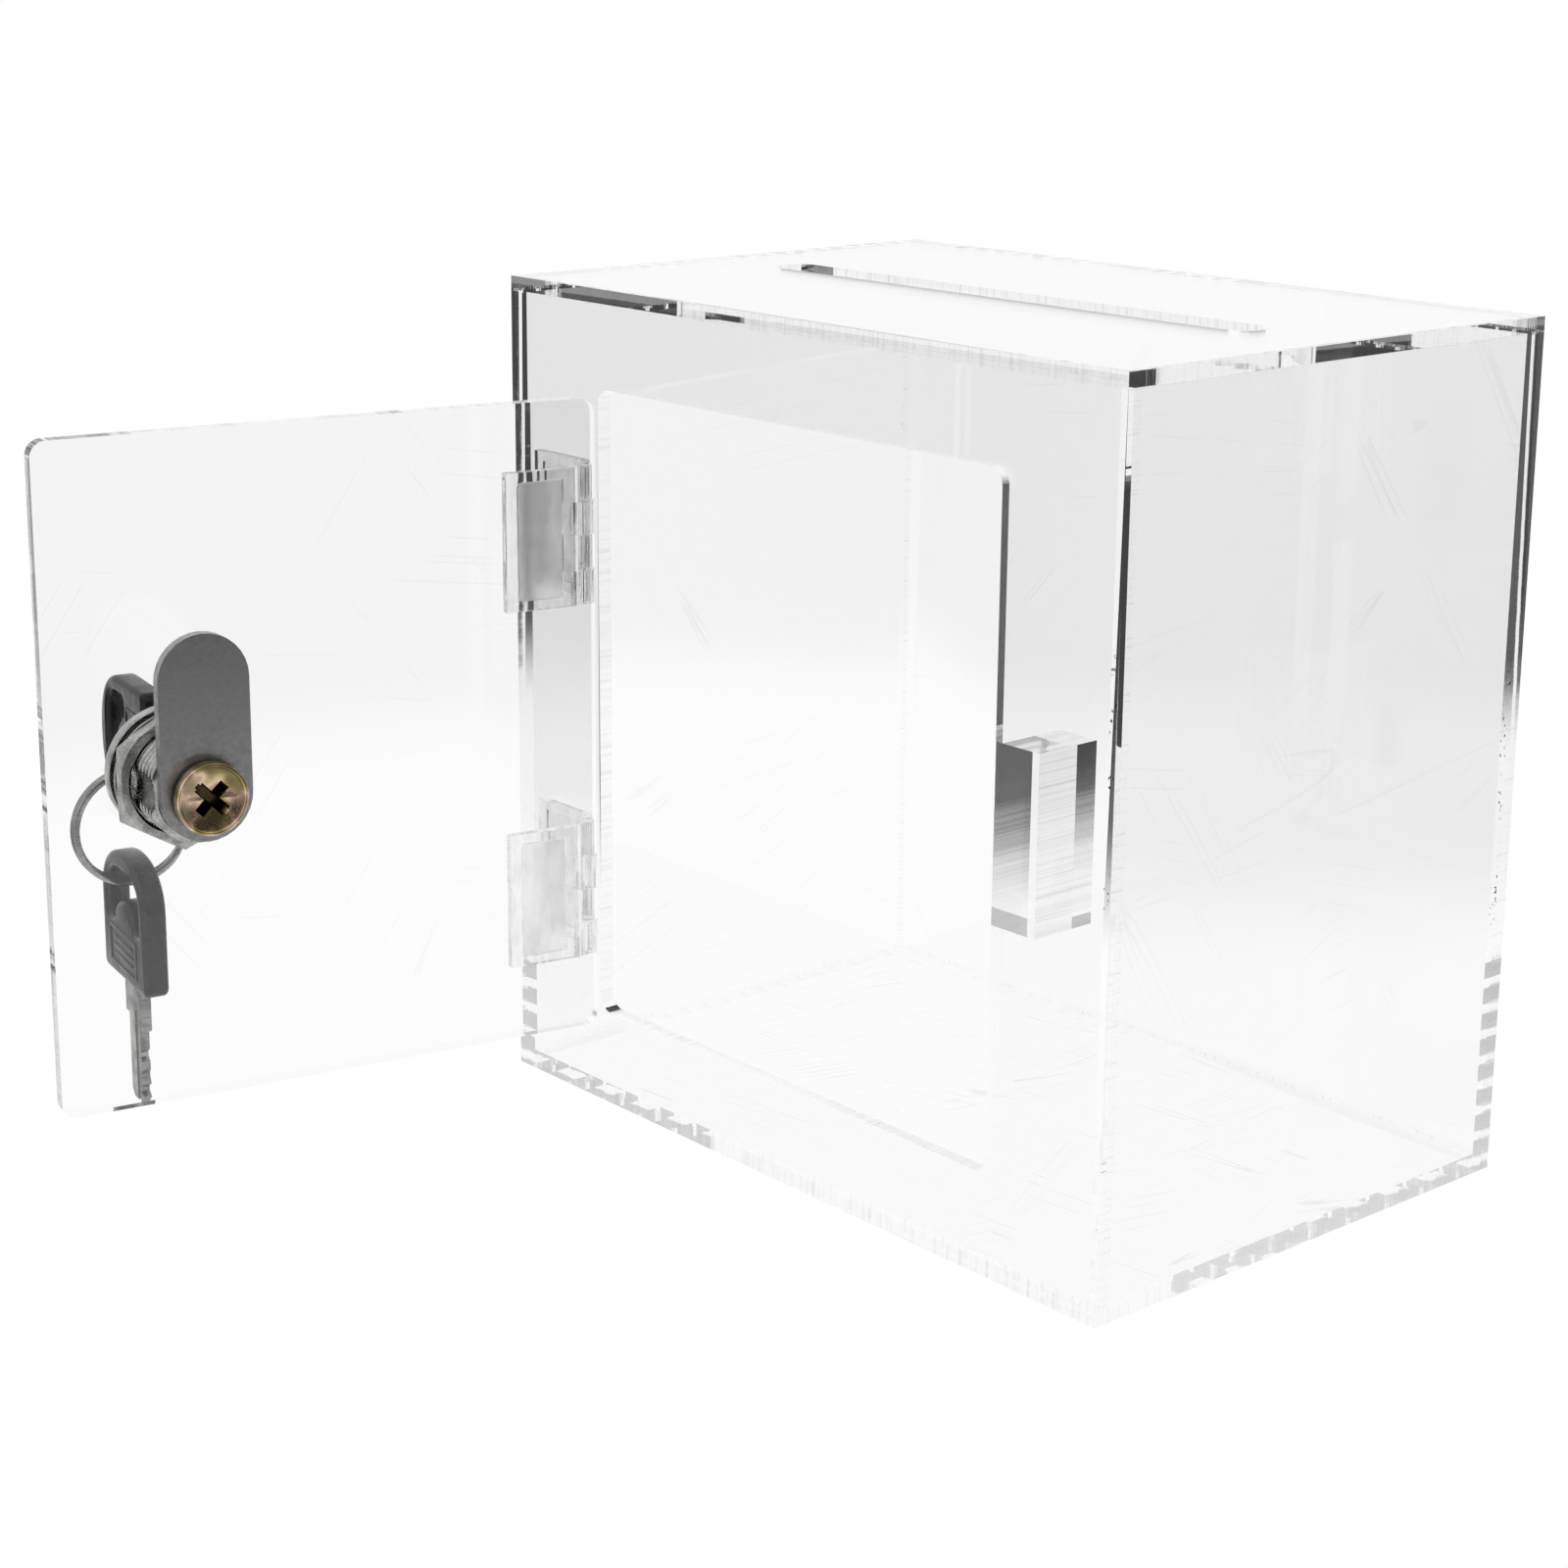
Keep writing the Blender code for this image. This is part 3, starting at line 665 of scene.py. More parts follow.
@dataclass(frozen=True)
class PlatedMetal(Finish):
    """A metal with its plating or bare rolled skin, mottled and finely marked by making and handling.

    It gives the eye greys that break up from place to place, and soft-edged reflections.

    Attributes:
        bright: The clean metal's colour.
        dull: The colour where it is tarnished or worn.
        roughness: Lowest and highest roughness.
        mottle: Width of the mottling in metres.
        grain: Width of the fine marks in metres, drawn as wide as they need to show.
        grain_depth: Their depth in metres.
        along: How the marks stretch along each axis: small for long marks.
        marked: How much of the colour follows the fine marks.
    """

    bright: str
    dull: str
    roughness: Point2
    mottle: float = 2.5 * MM
    grain: float = 0.25 * MM
    grain_depth: float = 0.004 * MM
    along: Point3 = EVERY_WAY
    marked: float = 0.4
    dull_limits: Point2 = (0.38, 0.62)

    def surface(self, tree: bpy.types.NodeTree) -> bpy.types.NodeSocket:
        """Metal whose colour follows its mottling and its marks."""
        patches = noise(tree, self.mottle, EVERY_WAY, 4)
        marks, normal = Relief(self.grain, self.grain_depth, self.along, 3).draw(tree)
        both = add_node(tree, "Mix", {0: self.marked}, {2: patches, 3: marks}, data_type="FLOAT").outputs[0]
        rough = add_node(tree, "MapRange", {**SHEEN_LIMITS, 3: self.roughness[0], 4: self.roughness[1]},
                         {0: patches}, **SMOOTH).outputs[0]
        colour = shade(tree, both, self.dull_limits, self.bright, self.dull)
        return add_node(tree, "BsdfPrincipled", {"Metallic": 1.0},
                        {"Base Color": colour, "Roughness": rough, "Normal": normal}).outputs["BSDF"]


@dataclass(frozen=True)
class YellowZinc(Finish):
    """Steel with a yellow chromate over zinc: a thin film whose thickness drifts from gold to pink and green.

    It gives the eye a gold screw with brown, rose and greenish patches, and painted shade deep in its recess.

    Attributes:
        shade_darkest_at: How far along the lock's axis the painted shade in the recess is darkest.
        shade_ends_at: How far along it the painted shade ends.
        shade_strength: How much of the painted shade's dark colour shows where it is darkest.
    """

    name: str = "yellow_chromate_zinc"
    drift: float = 4.5 * MM
    film_limits: Point2 = (0.28, 0.72)
    # Colour of the painted shade deep in the screw's recess, which stands in for the shade that falls there.
    recess_shade_colour: str = "#221A12"
    shade_darkest_at: float = 22.2 * MM
    shade_ends_at: float = 23.0 * MM
    shade_strength: float = 0.85
    roughness: Point2 = (0.16, 0.34)
    sheen_limits: Point2 = (0.3, 0.7)
    marks: Relief = Relief(0.3 * MM, 0.004 * MM, EVERY_WAY, 3)
    colours: tuple[str, ...] = ("#6E6147", "#94845C", "#BDAB80", "#D8BFA8", "#B89784", "#8C8568")

    def surface(self, tree: bpy.types.NodeTree) -> bpy.types.NodeSocket:
        """Chromate colours by the film's thickness, under painted shade that darkens the deep part of the
        head.
        """
        low, high = self.film_limits
        drift = noise(tree, self.drift, EVERY_WAY, 1)
        film = add_node(tree, "MapRange", {1: low, 2: high}, {0: drift}, **SMOOTH)
        ramp = add_node(tree, "ValToRGB", {}, {0: film.outputs[0]})
        stops = ramp.color_ramp.elements
        while len(stops) < len(self.colours):
            stops.new(0.5)
        for i, (stop, colour) in enumerate(zip(stops, self.colours)):
            stop.position = i / (len(self.colours) - 1)
            stop.color = linear(colour)
        # Painted shade: the colour darkens towards the foot of the recess, where shade falls.
        where = add_node(tree, "TexCoord").outputs["Object"]
        depth = add_node(tree, "SeparateXYZ", {}, {0: where}).outputs[1]
        recess_shade = add_node(tree, "MapRange", {1: self.shade_darkest_at, 2: self.shade_ends_at, 3: self.shade_strength, 4: 0},
                         {0: depth}, **SMOOTH).outputs[0]
        colour = add_node(tree, "Mix", {7: linear(self.recess_shade_colour)}, {0: recess_shade, 6: ramp.outputs[0]},
                          data_type="RGBA").outputs[2]
        marks, normal = self.marks.draw(tree)
        limits = dict(enumerate((*self.sheen_limits, *self.roughness), start=1))
        rough = add_node(tree, "MapRange", limits, {0: marks}, **SMOOTH).outputs[0]
        return add_node(tree, "BsdfPrincipled", {"Metallic": 1.0},
                        {"Base Color": colour, "Roughness": rough, "Normal": normal}).outputs["BSDF"]


@dataclass(frozen=True)
class BlackAbs(Finish):
    """Injection-moulded black ABS, half gloss, with rubbed spots from a pocket.

    It gives the eye a soft highlight along every rounded edge, and a slightly uneven sheen.
    """

    name: str = "black_moulded_abs"
    deep: str = "#121213"
    rubbed: str = "#222223"
    ior: float = 1.33
    wear: float = 4 * MM
    wear_limits: Point2 = (0.45, 0.68)
    roughness: Point2 = (0.20, 0.36)
    skin: Relief = Relief(0.35 * MM, 0.006 * MM)

    def surface(self, tree: bpy.types.NodeTree) -> bpy.types.NodeSocket:
        """Black plastic that is paler and rougher where it is worn."""
        wear = noise(tree, self.wear, EVERY_WAY, 4)
        rough = add_node(tree, "MapRange", {**SHEEN_LIMITS, 3: self.roughness[0], 4: self.roughness[1]},
                         {0: wear}, **SMOOTH).outputs[0]
        colour = shade(tree, wear, self.wear_limits, self.deep, self.rubbed)
        return add_node(tree, "BsdfPrincipled", {"IOR": self.ior},
                        {"Base Color": colour, "Roughness": rough,
                         "Normal": self.skin.draw(tree)[1]}).outputs["BSDF"]


# ---- the box ---------------------------------------------------------------------------------------------
FACE, CUT, WELD = 0, 1, 2


@dataclass
class Box:
    """The welded acrylic case: base, lid with its money slot, four walls and the keeper."""

    slot_length: float = 115 * MM
    slot_width: float = 8.5 * MM
    opening_width: float = 100 * MM
    opening_radius: float = 3 * MM
    kerf: float = 0.3 * MM
    body: str = "box"

    def __post_init__(self) -> None:
        """Reads the case's planes from the frame."""
        (self.left, self.front, self.bottom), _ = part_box("base_panel")
        _, (self.right, self.back, self.top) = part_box("lid_panel")
        self.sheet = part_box("base_panel")[1].z - self.bottom
        self.in_left, self.in_right = self.left + self.sheet, self.right - self.sheet
        self.in_front, self.in_back = self.front + self.sheet, self.back - self.sheet
        self.in_bottom, self.in_top = self.bottom + self.sheet, self.top - self.sheet

    def build(self, face: bpy.types.Material, scuffed: bpy.types.Material,
              cut: dict[Plane, bpy.types.Material], weld: bpy.types.Material) -> None:
        """Builds every panel.

        Args:
            face: Material of the polished faces.
            scuffed: Material of the base's faces, which the box slides and stands on.
            cut: Material of the cut edges, for each way a panel faces.
            weld: Material of the welded joints.
        """
        self.face, self.scuffed, self.cut, self.weld = face, scuffed, cut, weld
        self._base()
        self._lid()
        self._back()
        self._sides()
        self._front()
        self._keeper()

    def _add(self, name: str, plate: Plate, face: Optional[bpy.types.Material] = None) -> None:
        """Adds a panel in place of its node, with its own face material where it has one."""
        piece("clear_" + name, plate.mesh(), [face or self.face, self.cut[plate.plane], self.weld], self.body,
              [name])

    def _outer(self) -> Loop:
        """The case's outline from above, with a corner where each wall's thickness ends."""
        xs = [self.left, self.in_left, self.in_right, self.right]
        ys = [self.front, self.in_front, self.in_back, self.back]
        return ([(x, ys[0]) for x in xs] + [(xs[-1], y) for y in ys[1:]]
                + [(x, ys[-1]) for x in reversed(xs[:-1])] + [(xs[0], y) for y in reversed(ys[1:-1])])

    def _rim(self) -> list[Patch]:
        """The strips where the walls are welded to the lid or the base."""
        xs = [self.left, self.in_left, self.in_right, self.right]
        ys = [self.front, self.in_front, self.in_back, self.back]
        return [Patch(rectangle(xs[i], ys[j], xs[i + 1], ys[j + 1]), slot=WELD)
                for i in range(3) for j in range(3) if (i, j) != (1, 1)]

    def _base(self) -> None:
        """Base panel: its underside is free and its rim carries the walls."""
        outer = self._outer()
        inner = rectangle(self.in_left, self.in_front, self.in_right, self.in_back)
        self._add("base_panel", Plate(Plane.Z, self.bottom, self.in_bottom, [Patch(outer)],
                                      [Patch(inner), *self._rim()], [(outer, CUT)]), self.scuffed)

    def _lid(self) -> None:
        """Lid panel with its round-ended money slot."""
        outer = self._outer()
        inner = rectangle(self.in_left, self.in_front, self.in_right, self.in_back)
        radius = self.slot_width / 2
        half = self.slot_length / 2 - radius
        hole = arc((half, 0), radius, -90, 90, 20) + arc((-half, 0), radius, 90, 270, 20)
        self._add("lid_panel", Plate(Plane.Z, self.in_top, self.top, [Patch(inner, [hole]), *self._rim()],
                                     [Patch(outer, [hole])], [(outer, CUT), (hole, CUT)]))

    def _end_panel(self, patches: list[Patch], holes: list[Loop]) -> tuple[
            list[Patch], list[Patch], list[tuple[Loop, int]]]:
        """Lists the faces and walls of the front or back panel, which cover the side panels' ends.

        Args:
            patches: Patches between the side panels on the panel's inner face.
            holes: Outlines of the holes in its outer face.

        Returns:
            The inner face, the outer face and the walls.
        """
        low, high = self.in_bottom, self.in_top
        across = [self.left, self.in_left, self.in_right, self.right]
        outer = [(x, low) for x in across] + [(x, high) for x in reversed(across)]
        strips = [Patch(rectangle(a, low, b, high), slot=WELD) for a, b in (across[:2], across[2:])]
        walls = [([(x, low), (x, high)], CUT) for x in (self.left, self.right)]
        walls += [([(x, z) for x in across], WELD) for z in (low, high)]
        return patches + strips, [Patch(outer, holes)], walls + [(hole, CUT) for hole in holes]

    def _back(self) -> None:
        """Back panel."""
        middle = Patch(rectangle(self.in_left, self.in_bottom, self.in_right, self.in_top))
        inside, outside, walls = self._end_panel([middle], [])
        self._add("back_panel", Plate(Plane.Y, self.in_back, self.back, inside, outside, walls))

    def _sides(self) -> None:
        """The two side panels, welded along all four edges."""
        for name, x0, x1 in (("left_side_panel", self.left, self.in_left),
                             ("right_side_panel", self.in_right, self.right)):
            outline = rectangle(self.in_front, self.in_bottom, self.in_back, self.in_top)
            self._add(name, Plate(Plane.X, x0, x1, [Patch(outline)], [Patch(outline)], [(outline, WELD)]))

    def _front(self) -> None:
        """Front panel with the door's opening and the keeper's weld behind it."""
        keeper_low, keeper_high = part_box("keeper_block")
        door_low, door_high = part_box("door_panel")
        half = self.opening_width / 2
        opening = rounded_rectangle((-half, door_low.z - self.kerf), (half, door_high.z + self.kerf),
                                    self.opening_radius)
        around = opening + [(half, keeper_low.z), (half, keeper_high.z)]
        keeper = rectangle(half, keeper_low.z, keeper_high.x, keeper_high.z)
        middle = Patch(rectangle(self.in_left, self.in_bottom, self.in_right, self.in_top),
                       [opening + keeper])
        inside, outside, walls = self._end_panel([middle, Patch(keeper, slot=WELD)], [around])
        self._add("front_panel", Plate(Plane.Y, self.front, self.in_front, outside, inside, walls))

    def _keeper(self) -> None:
        """Keeper block, welded to the back of the front panel."""
        low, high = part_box("keeper_block")
        outline = rectangle(low.x, low.z, high.x, high.z)
        self._add("keeper_block", Plate(Plane.Y, self.in_front, high.y, [Patch(outline, slot=WELD)],
                                        [Patch(outline)], [(outline, CUT)]))


# ---- door and hinges -------------------------------------------------------------------------------------
@dataclass
class Door:
    """The laser-cut door panel, in the hinge's axes: x along the door and y through it."""

    left: float = 0.5 * MM
    width: float = 99.4 * MM
    outside: float = 3.5 * MM
    inside: float = 6.3 * MM
    corner: float = 2.7 * MM
    lock_reach: float = 77.8 * MM
    lock_hole: float = 9.1 * MM
    body: str = "door"

    def build(self, acrylic: Sequence[bpy.types.Material]) -> None:
        """Builds the door.

        Args:
            acrylic: Materials for the polished face and the cut edge.
        """
        low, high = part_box("door_panel")
        outline = rounded_rectangle((self.left, low.z), (self.left + self.width, high.z), self.corner)
        lock_height = joint_axes("lock_turn").translation.z
        hole = arc((self.lock_reach, lock_height), self.lock_hole, 0, 360, 72)[:-1]
        plate = Plate(Plane.Y, self.outside, self.inside, [Patch(outline, [hole])], [Patch(outline, [hole])],
                      [(outline, CUT), (hole, CUT)])
        piece("clear_door_panel", plate.mesh(), acrylic, self.body, ["door_panel"],
              joint_axes("door_hinge", 0.0))


class Leaf(Enum):
    """The two leaves of a hinge: the body that each rides on, and its side of the pin."""

    DOOR = ("door", 1)
    FRAME = ("box", -1)


@dataclass
class Hinge:
    """A moulded butt hinge with an adhesive pad under each leaf, in axes on its pin.

    Attributes:
        which: Upper or lower.
        glued: How far the leaf's glued side lies behind the pin.
        panel: How far the panel's face lies behind the pin.
        pocket: Where the leaf's pocket starts and ends, away from the pin.
        pocket_depth: How deep the pocket is.
        pocket_half: Half its height.
        gap: Air between the pad and the pocket.
        edge: Rounding of the leaves' edges.
        pad_gap: Air between the pad and the panel.
        pad_step: Longest straight edge that a pad keeps.
        waves: Height and pace of each wave along a pad's pressed-out edge.
    """

    which: str
    glued: float = 3.2 * MM
    panel: float = 3.5 * MM
    pocket: tuple[float, float] = (5.6 * MM, 14.7 * MM)
    pocket_depth: float = 0.5 * MM
    pocket_half: float = 10.5 * MM
    gap: float = 0.06 * MM
    edge: float = 0.35 * MM
    pin_edge: float = 0.2 * MM
    pad_gap: float = 0.02 * MM
    pad_corner: float = 0.9 * MM
    pad_rounding: float = 0.1 * MM
    pad_step: float = 6 * MM
    waves: tuple[Point2, ...] = ((0.16 * MM, 1.9), (0.08 * MM, 4.3))

    def build(self, clear: bpy.types.Material, adhesive: bpy.types.Material) -> None:
        """Dresses the leaves and the pin, and builds the pads."""
        for leaf in Leaf:
            word = leaf.name.lower()
            dress(f"{self.which}_hinge_{word}_leaf", clear, self.edge)
            self._pad(leaf, adhesive)
        dress(f"{self.which}_hinge_pin", clear, self.pin_edge)

    def _pad(self, leaf: Leaf, adhesive: bpy.types.Material) -> None:
        """Builds the pad that fills a leaf's pocket, with the wavy edge that it was pressed out to."""
        body, side = leaf.value
        low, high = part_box(f"{self.which}_hinge_{leaf.name.lower()}_leaf")
        middle = (low.z + high.z) / 2
        room = 0.3 * MM
        near, far = self.pocket[0] + self.gap + room, self.pocket[1] - self.gap - room
        reach = self.pocket_half - self.gap
        straight = rounded_rectangle((near, -reach), (far, reach), self.pad_corner, 8)
        outline = [(x + self._wave(i), z) for i, (x, z) in enumerate(straight)]
        start, end = self.glued - self.pocket_depth + self.gap, self.panel - self.pad_gap
        bm = SoftPlate(outline, -end, -start, self.pad_rounding, steps=2).mesh()
        bmesh.ops.subdivide_edges(bm, edges=[e for e in bm.edges if e.calc_length() > self.pad_step], cuts=1)
        upright = Matrix(((side, 0, 0, 0), (0, 0, -1, 0), (0, 1, 0, 0), (0, 0, 0, 1)))
        bm.transform(upright)
        bmesh.ops.recalc_face_normals(bm, faces=bm.faces)
        axes = joint_axes("door_hinge", middle)
        if leaf is Leaf.FRAME:
            axes = Matrix.Translation(axes.translation)
        piece(f"{self.which}_{leaf.name.lower()}_pad", bm, [adhesive], body, (),
              axes)

    def _wave(self, step: int) -> float:
        """Gives the pressed-out edge its waviness."""
        return sum(height * math.sin(pace * step) for height, pace in self.waves)


# ---- lock ------------------------------------------------------------------------------------------------
@dataclass
class Lock:
    """The cam lock, in axes on its own: y runs through the door, from the head's face.

    Attributes:
        lip: Radius and depth of the recess in the head that the plug's face sits in.
        washer: Where the washer starts and ends.
        nut: Where the nut starts and ends.
        nut_flats: Width of the nut over two flat sides.
        nut_chamfer: Radius at which its chamfers start.
        recess: For each wing of the screw's cross recess and driver slot, its turn in degrees, its half
            length, its half width and its depth.
    """

    head_radius: float = 11 * MM
    head_depth: float = 3.2 * MM
    thread_radius: float = 8.8 * MM
    thread_pitch: float = 1.5 * MM
    thread_depth: float = 0.6 * MM
    flat_half: float = 8.0 * MM
    end: float = 19.1 * MM
    end_length: float = 1.3 * MM
    bore: float = 6.3 * MM
    lip: tuple[float, float] = (7.8 * MM, 1.5 * MM)
    washer: tuple[float, float] = (6.6 * MM, 7.2 * MM)
    nut: tuple[float, float] = (7.5 * MM, 10.1 * MM)
    nut_flats: float = 21.5 * MM
    nut_chamfer: float = 10.9 * MM
    cam_edge: float = 0.45 * MM
    screw_foot: float = 17.9 * MM
    screw_under: float = 21.7 * MM
    screw_top: float = 24.1 * MM
    screw_radius: float = 6.1 * MM
    screw_shank: float = 2.6 * MM
    dish_slope: float = 0.18
    dish_radius: float = 5.15 * MM
    recess: tuple[tuple[float, float, float, float], ...] = ((45, 4.2 * MM, 0.55 * MM, 1.9 * MM),
                                                             (45, 3.3 * MM, 1.0 * MM, 4.2 * MM),
                                                             (135, 3.3 * MM, 1.0 * MM, 4.2 * MM))

    def build(self, nickel: bpy.types.Material, steel: bpy.types.Material, brass: bpy.types.Material,
              zinc: bpy.types.Material) -> None:
        """Builds the lock's outside and dresses its inside.

        Args:
            nickel: Bright nickel plate.
            steel: Satin rolled steel.
            brass: The plug's brass.
            zinc: Yellow chromate.
        """
        self.axes = joint_axes("lock_turn")
        self._barrel(nickel)
        self._washer(nickel)
        self._nut(nickel)
        self._screw(zinc)
        dress("cam_plate", steel, self.cam_edge, 4)
        dress("lock_plug", brass, 0.2 * MM)
        for number in range(1, 6):
            dress(f"lock_wafer_{number}", brass, 0.1 * MM)
            dress(f"wafer_spring_{number}", steel)

    def _thread(self, angle: float) -> list[Point2]:
        """Lists the screw thread's profile at an angle, from the head to the barrel's end."""
        start, stop = self.head_depth + 0.3 * MM, self.end - self.end_length
        rows = int((stop - start) / self.thread_pitch * 8)
        points = []
        for i in range(rows + 1):
            along = start + (stop - start) * i / rows
            share = (along / self.thread_pitch - angle / math.tau) % 1.0
            radius = self.thread_radius - self.thread_depth * (1 - min(1.0, 1.25 * abs(2 * share - 1)))
            points.append((min(radius, self.flat_half / max(abs(math.cos(angle)), 1e-6)), along))
        return points

    def _barrel(self, nickel: bpy.types.Material) -> None:
        """Barrel with its round-edged head, its thread with two flats, and its plain end."""
        root = self.thread_radius - self.thread_depth
        edge = 1.1 * MM
        lip_radius, lip_depth = self.lip

        def profile(angle: float) -> list[Point2]:
            """Gives the barrel's profile at an angle."""
            plain = min(root, self.flat_half / max(abs(math.cos(angle)), 1e-6))
            head = arc((self.head_radius - edge, edge), edge, -90, 0, 5)
            under = [(self.head_radius, self.head_depth - 0.2 * MM),
                     (self.head_radius - 0.2 * MM, self.head_depth), (plain, self.head_depth)]
            end = [(plain, self.end - self.end_length + 0.1 * MM), (plain, self.end - 0.4 * MM),
                   (plain - 0.4 * MM, self.end), (self.bore + 0.3 * MM, self.end),
                   (self.bore, self.end - 0.3 * MM)]
            inside = [(self.bore, lip_depth), (lip_radius, lip_depth), (lip_radius, 0.2 * MM),
                      (lip_radius + 0.2 * MM, 0)]
            return head + under + self._thread(angle) + end + inside

        piece("threaded_barrel", lathe(profile, 120), [nickel], "door", ["lock_barrel"],
              self.axes, 32)

    def _washer(self, nickel: bpy.types.Material) -> None:
        """Flat washer with rolled edges."""
        low, high = self.washer
        hole, rim, soft = self.thread_radius + 0.3 * MM, self.head_radius, 0.18 * MM
        profile = (arc((rim - soft, low + soft), soft, -90, 0, 3)
                   + arc((rim - soft, high - soft), soft, 0, 90, 3) + [(hole, high), (hole, low)])
        piece("washer", lathe(lambda angle: profile, 96), [nickel], "door",
              ["lock_washer"], self.axes, 40)

    def _nut(self, nickel: bpy.types.Material) -> None:
        """Hexagon nut whose corners are turned off at 30 degrees on both faces."""
        low, high = self.nut
        hole = self.thread_radius + 0.3 * MM
        fall = math.tan(math.radians(30))

        def profile(angle: float) -> list[Point2]:
            """Gives the nut's profile at an angle."""
            turn = (angle + math.radians(30)) % math.radians(60) - math.radians(30)
            outside = self.nut_flats / 2 / math.cos(turn)
            start = min(self.nut_chamfer, outside - 0.12 * MM)
            drop = max((outside - self.nut_chamfer) * fall, 0.07 * MM)
            return [(hole + 0.4 * MM, low), (start, low), (outside, low + drop), (outside, high - drop),
                    (start, high), (hole + 0.4 * MM, high), (hole, high - 0.4 * MM), (hole, low + 0.4 * MM)]

        piece("hexagon_nut", lathe(profile, 144), [nickel], "door", ["lock_nut"],
              self.axes, 25)

    def _screw(self, zinc: bpy.types.Material) -> None:
        """Cam screw: a dished head with a raised rim, a cross recess and a driver slot through it."""
        rim = 0.42 * MM
        ring = self.screw_radius - rim

        def profile(angle: float) -> list[Point2]:
            """Gives the screw's profile at an angle, from its foot to the middle of its head."""
            turn = angle % math.radians(90) - math.radians(45)
            slope = self.dish_slope * math.cos(turn)
            floor = self.screw_top - 0.35 * MM
            dish = [(r, floor - (self.dish_radius - r) * slope) for r in
                    [self.dish_radius * share for share in (1, 0.8, 0.6, 0.4, 0.2, 0.02)]]
            centre = [(0.0, dish[-1][1])]
            shank = [(0.0, self.screw_foot), (self.screw_shank - 0.4 * MM, self.screw_foot),
                     (self.screw_shank, self.screw_foot + 0.4 * MM), (self.screw_shank, self.screw_under)]
            side = [(self.screw_radius - 0.25 * MM, self.screw_under),
                    (self.screw_radius, self.screw_under + 0.25 * MM)]
            crown = arc((ring, self.screw_top - rim), rim, 0, 170, 8)
            return shank + side + crown + dish + centre

        head = lathe(profile, 96, closed=False)
        cutters = []
        for turn, half_length, half_width, depth in self.recess:
            tool = self._wedge(half_length, half_width, self.screw_top - depth)
            tool.transform(Matrix.Rotation(math.radians(-turn), 4, "Y"))
            cutters.append(tool)
        piece("cam_screw_head", carve(head, cutters), [zinc], "plug", ["cam_screw"], self.axes,
              30)

    def _wedge(self, half_length: float, half_width: float, foot: float) -> bmesh.types.BMesh:
        """Makes a driver's wing: a bar that tapers towards its foot."""
        bm = bmesh.new()
        top = self.screw_top + 0.5 * MM
        rings = []
        for along, share in ((foot, 0.62), (top, 1.08)):
            rings.append([bm.verts.new((x * half_length * share, along, z * half_width * share))
                          for x, z in ((-1, -1), (1, -1), (1, 1), (-1, 1))])
        bm.faces.new(rings[0])
        bm.faces.new(rings[1])
        for i in range(4):
            bm.faces.new((rings[0][i - 1], rings[0][i], rings[1][i], rings[1][i - 1]))
        bmesh.ops.recalc_face_normals(bm, faces=bm.faces)
        return bm


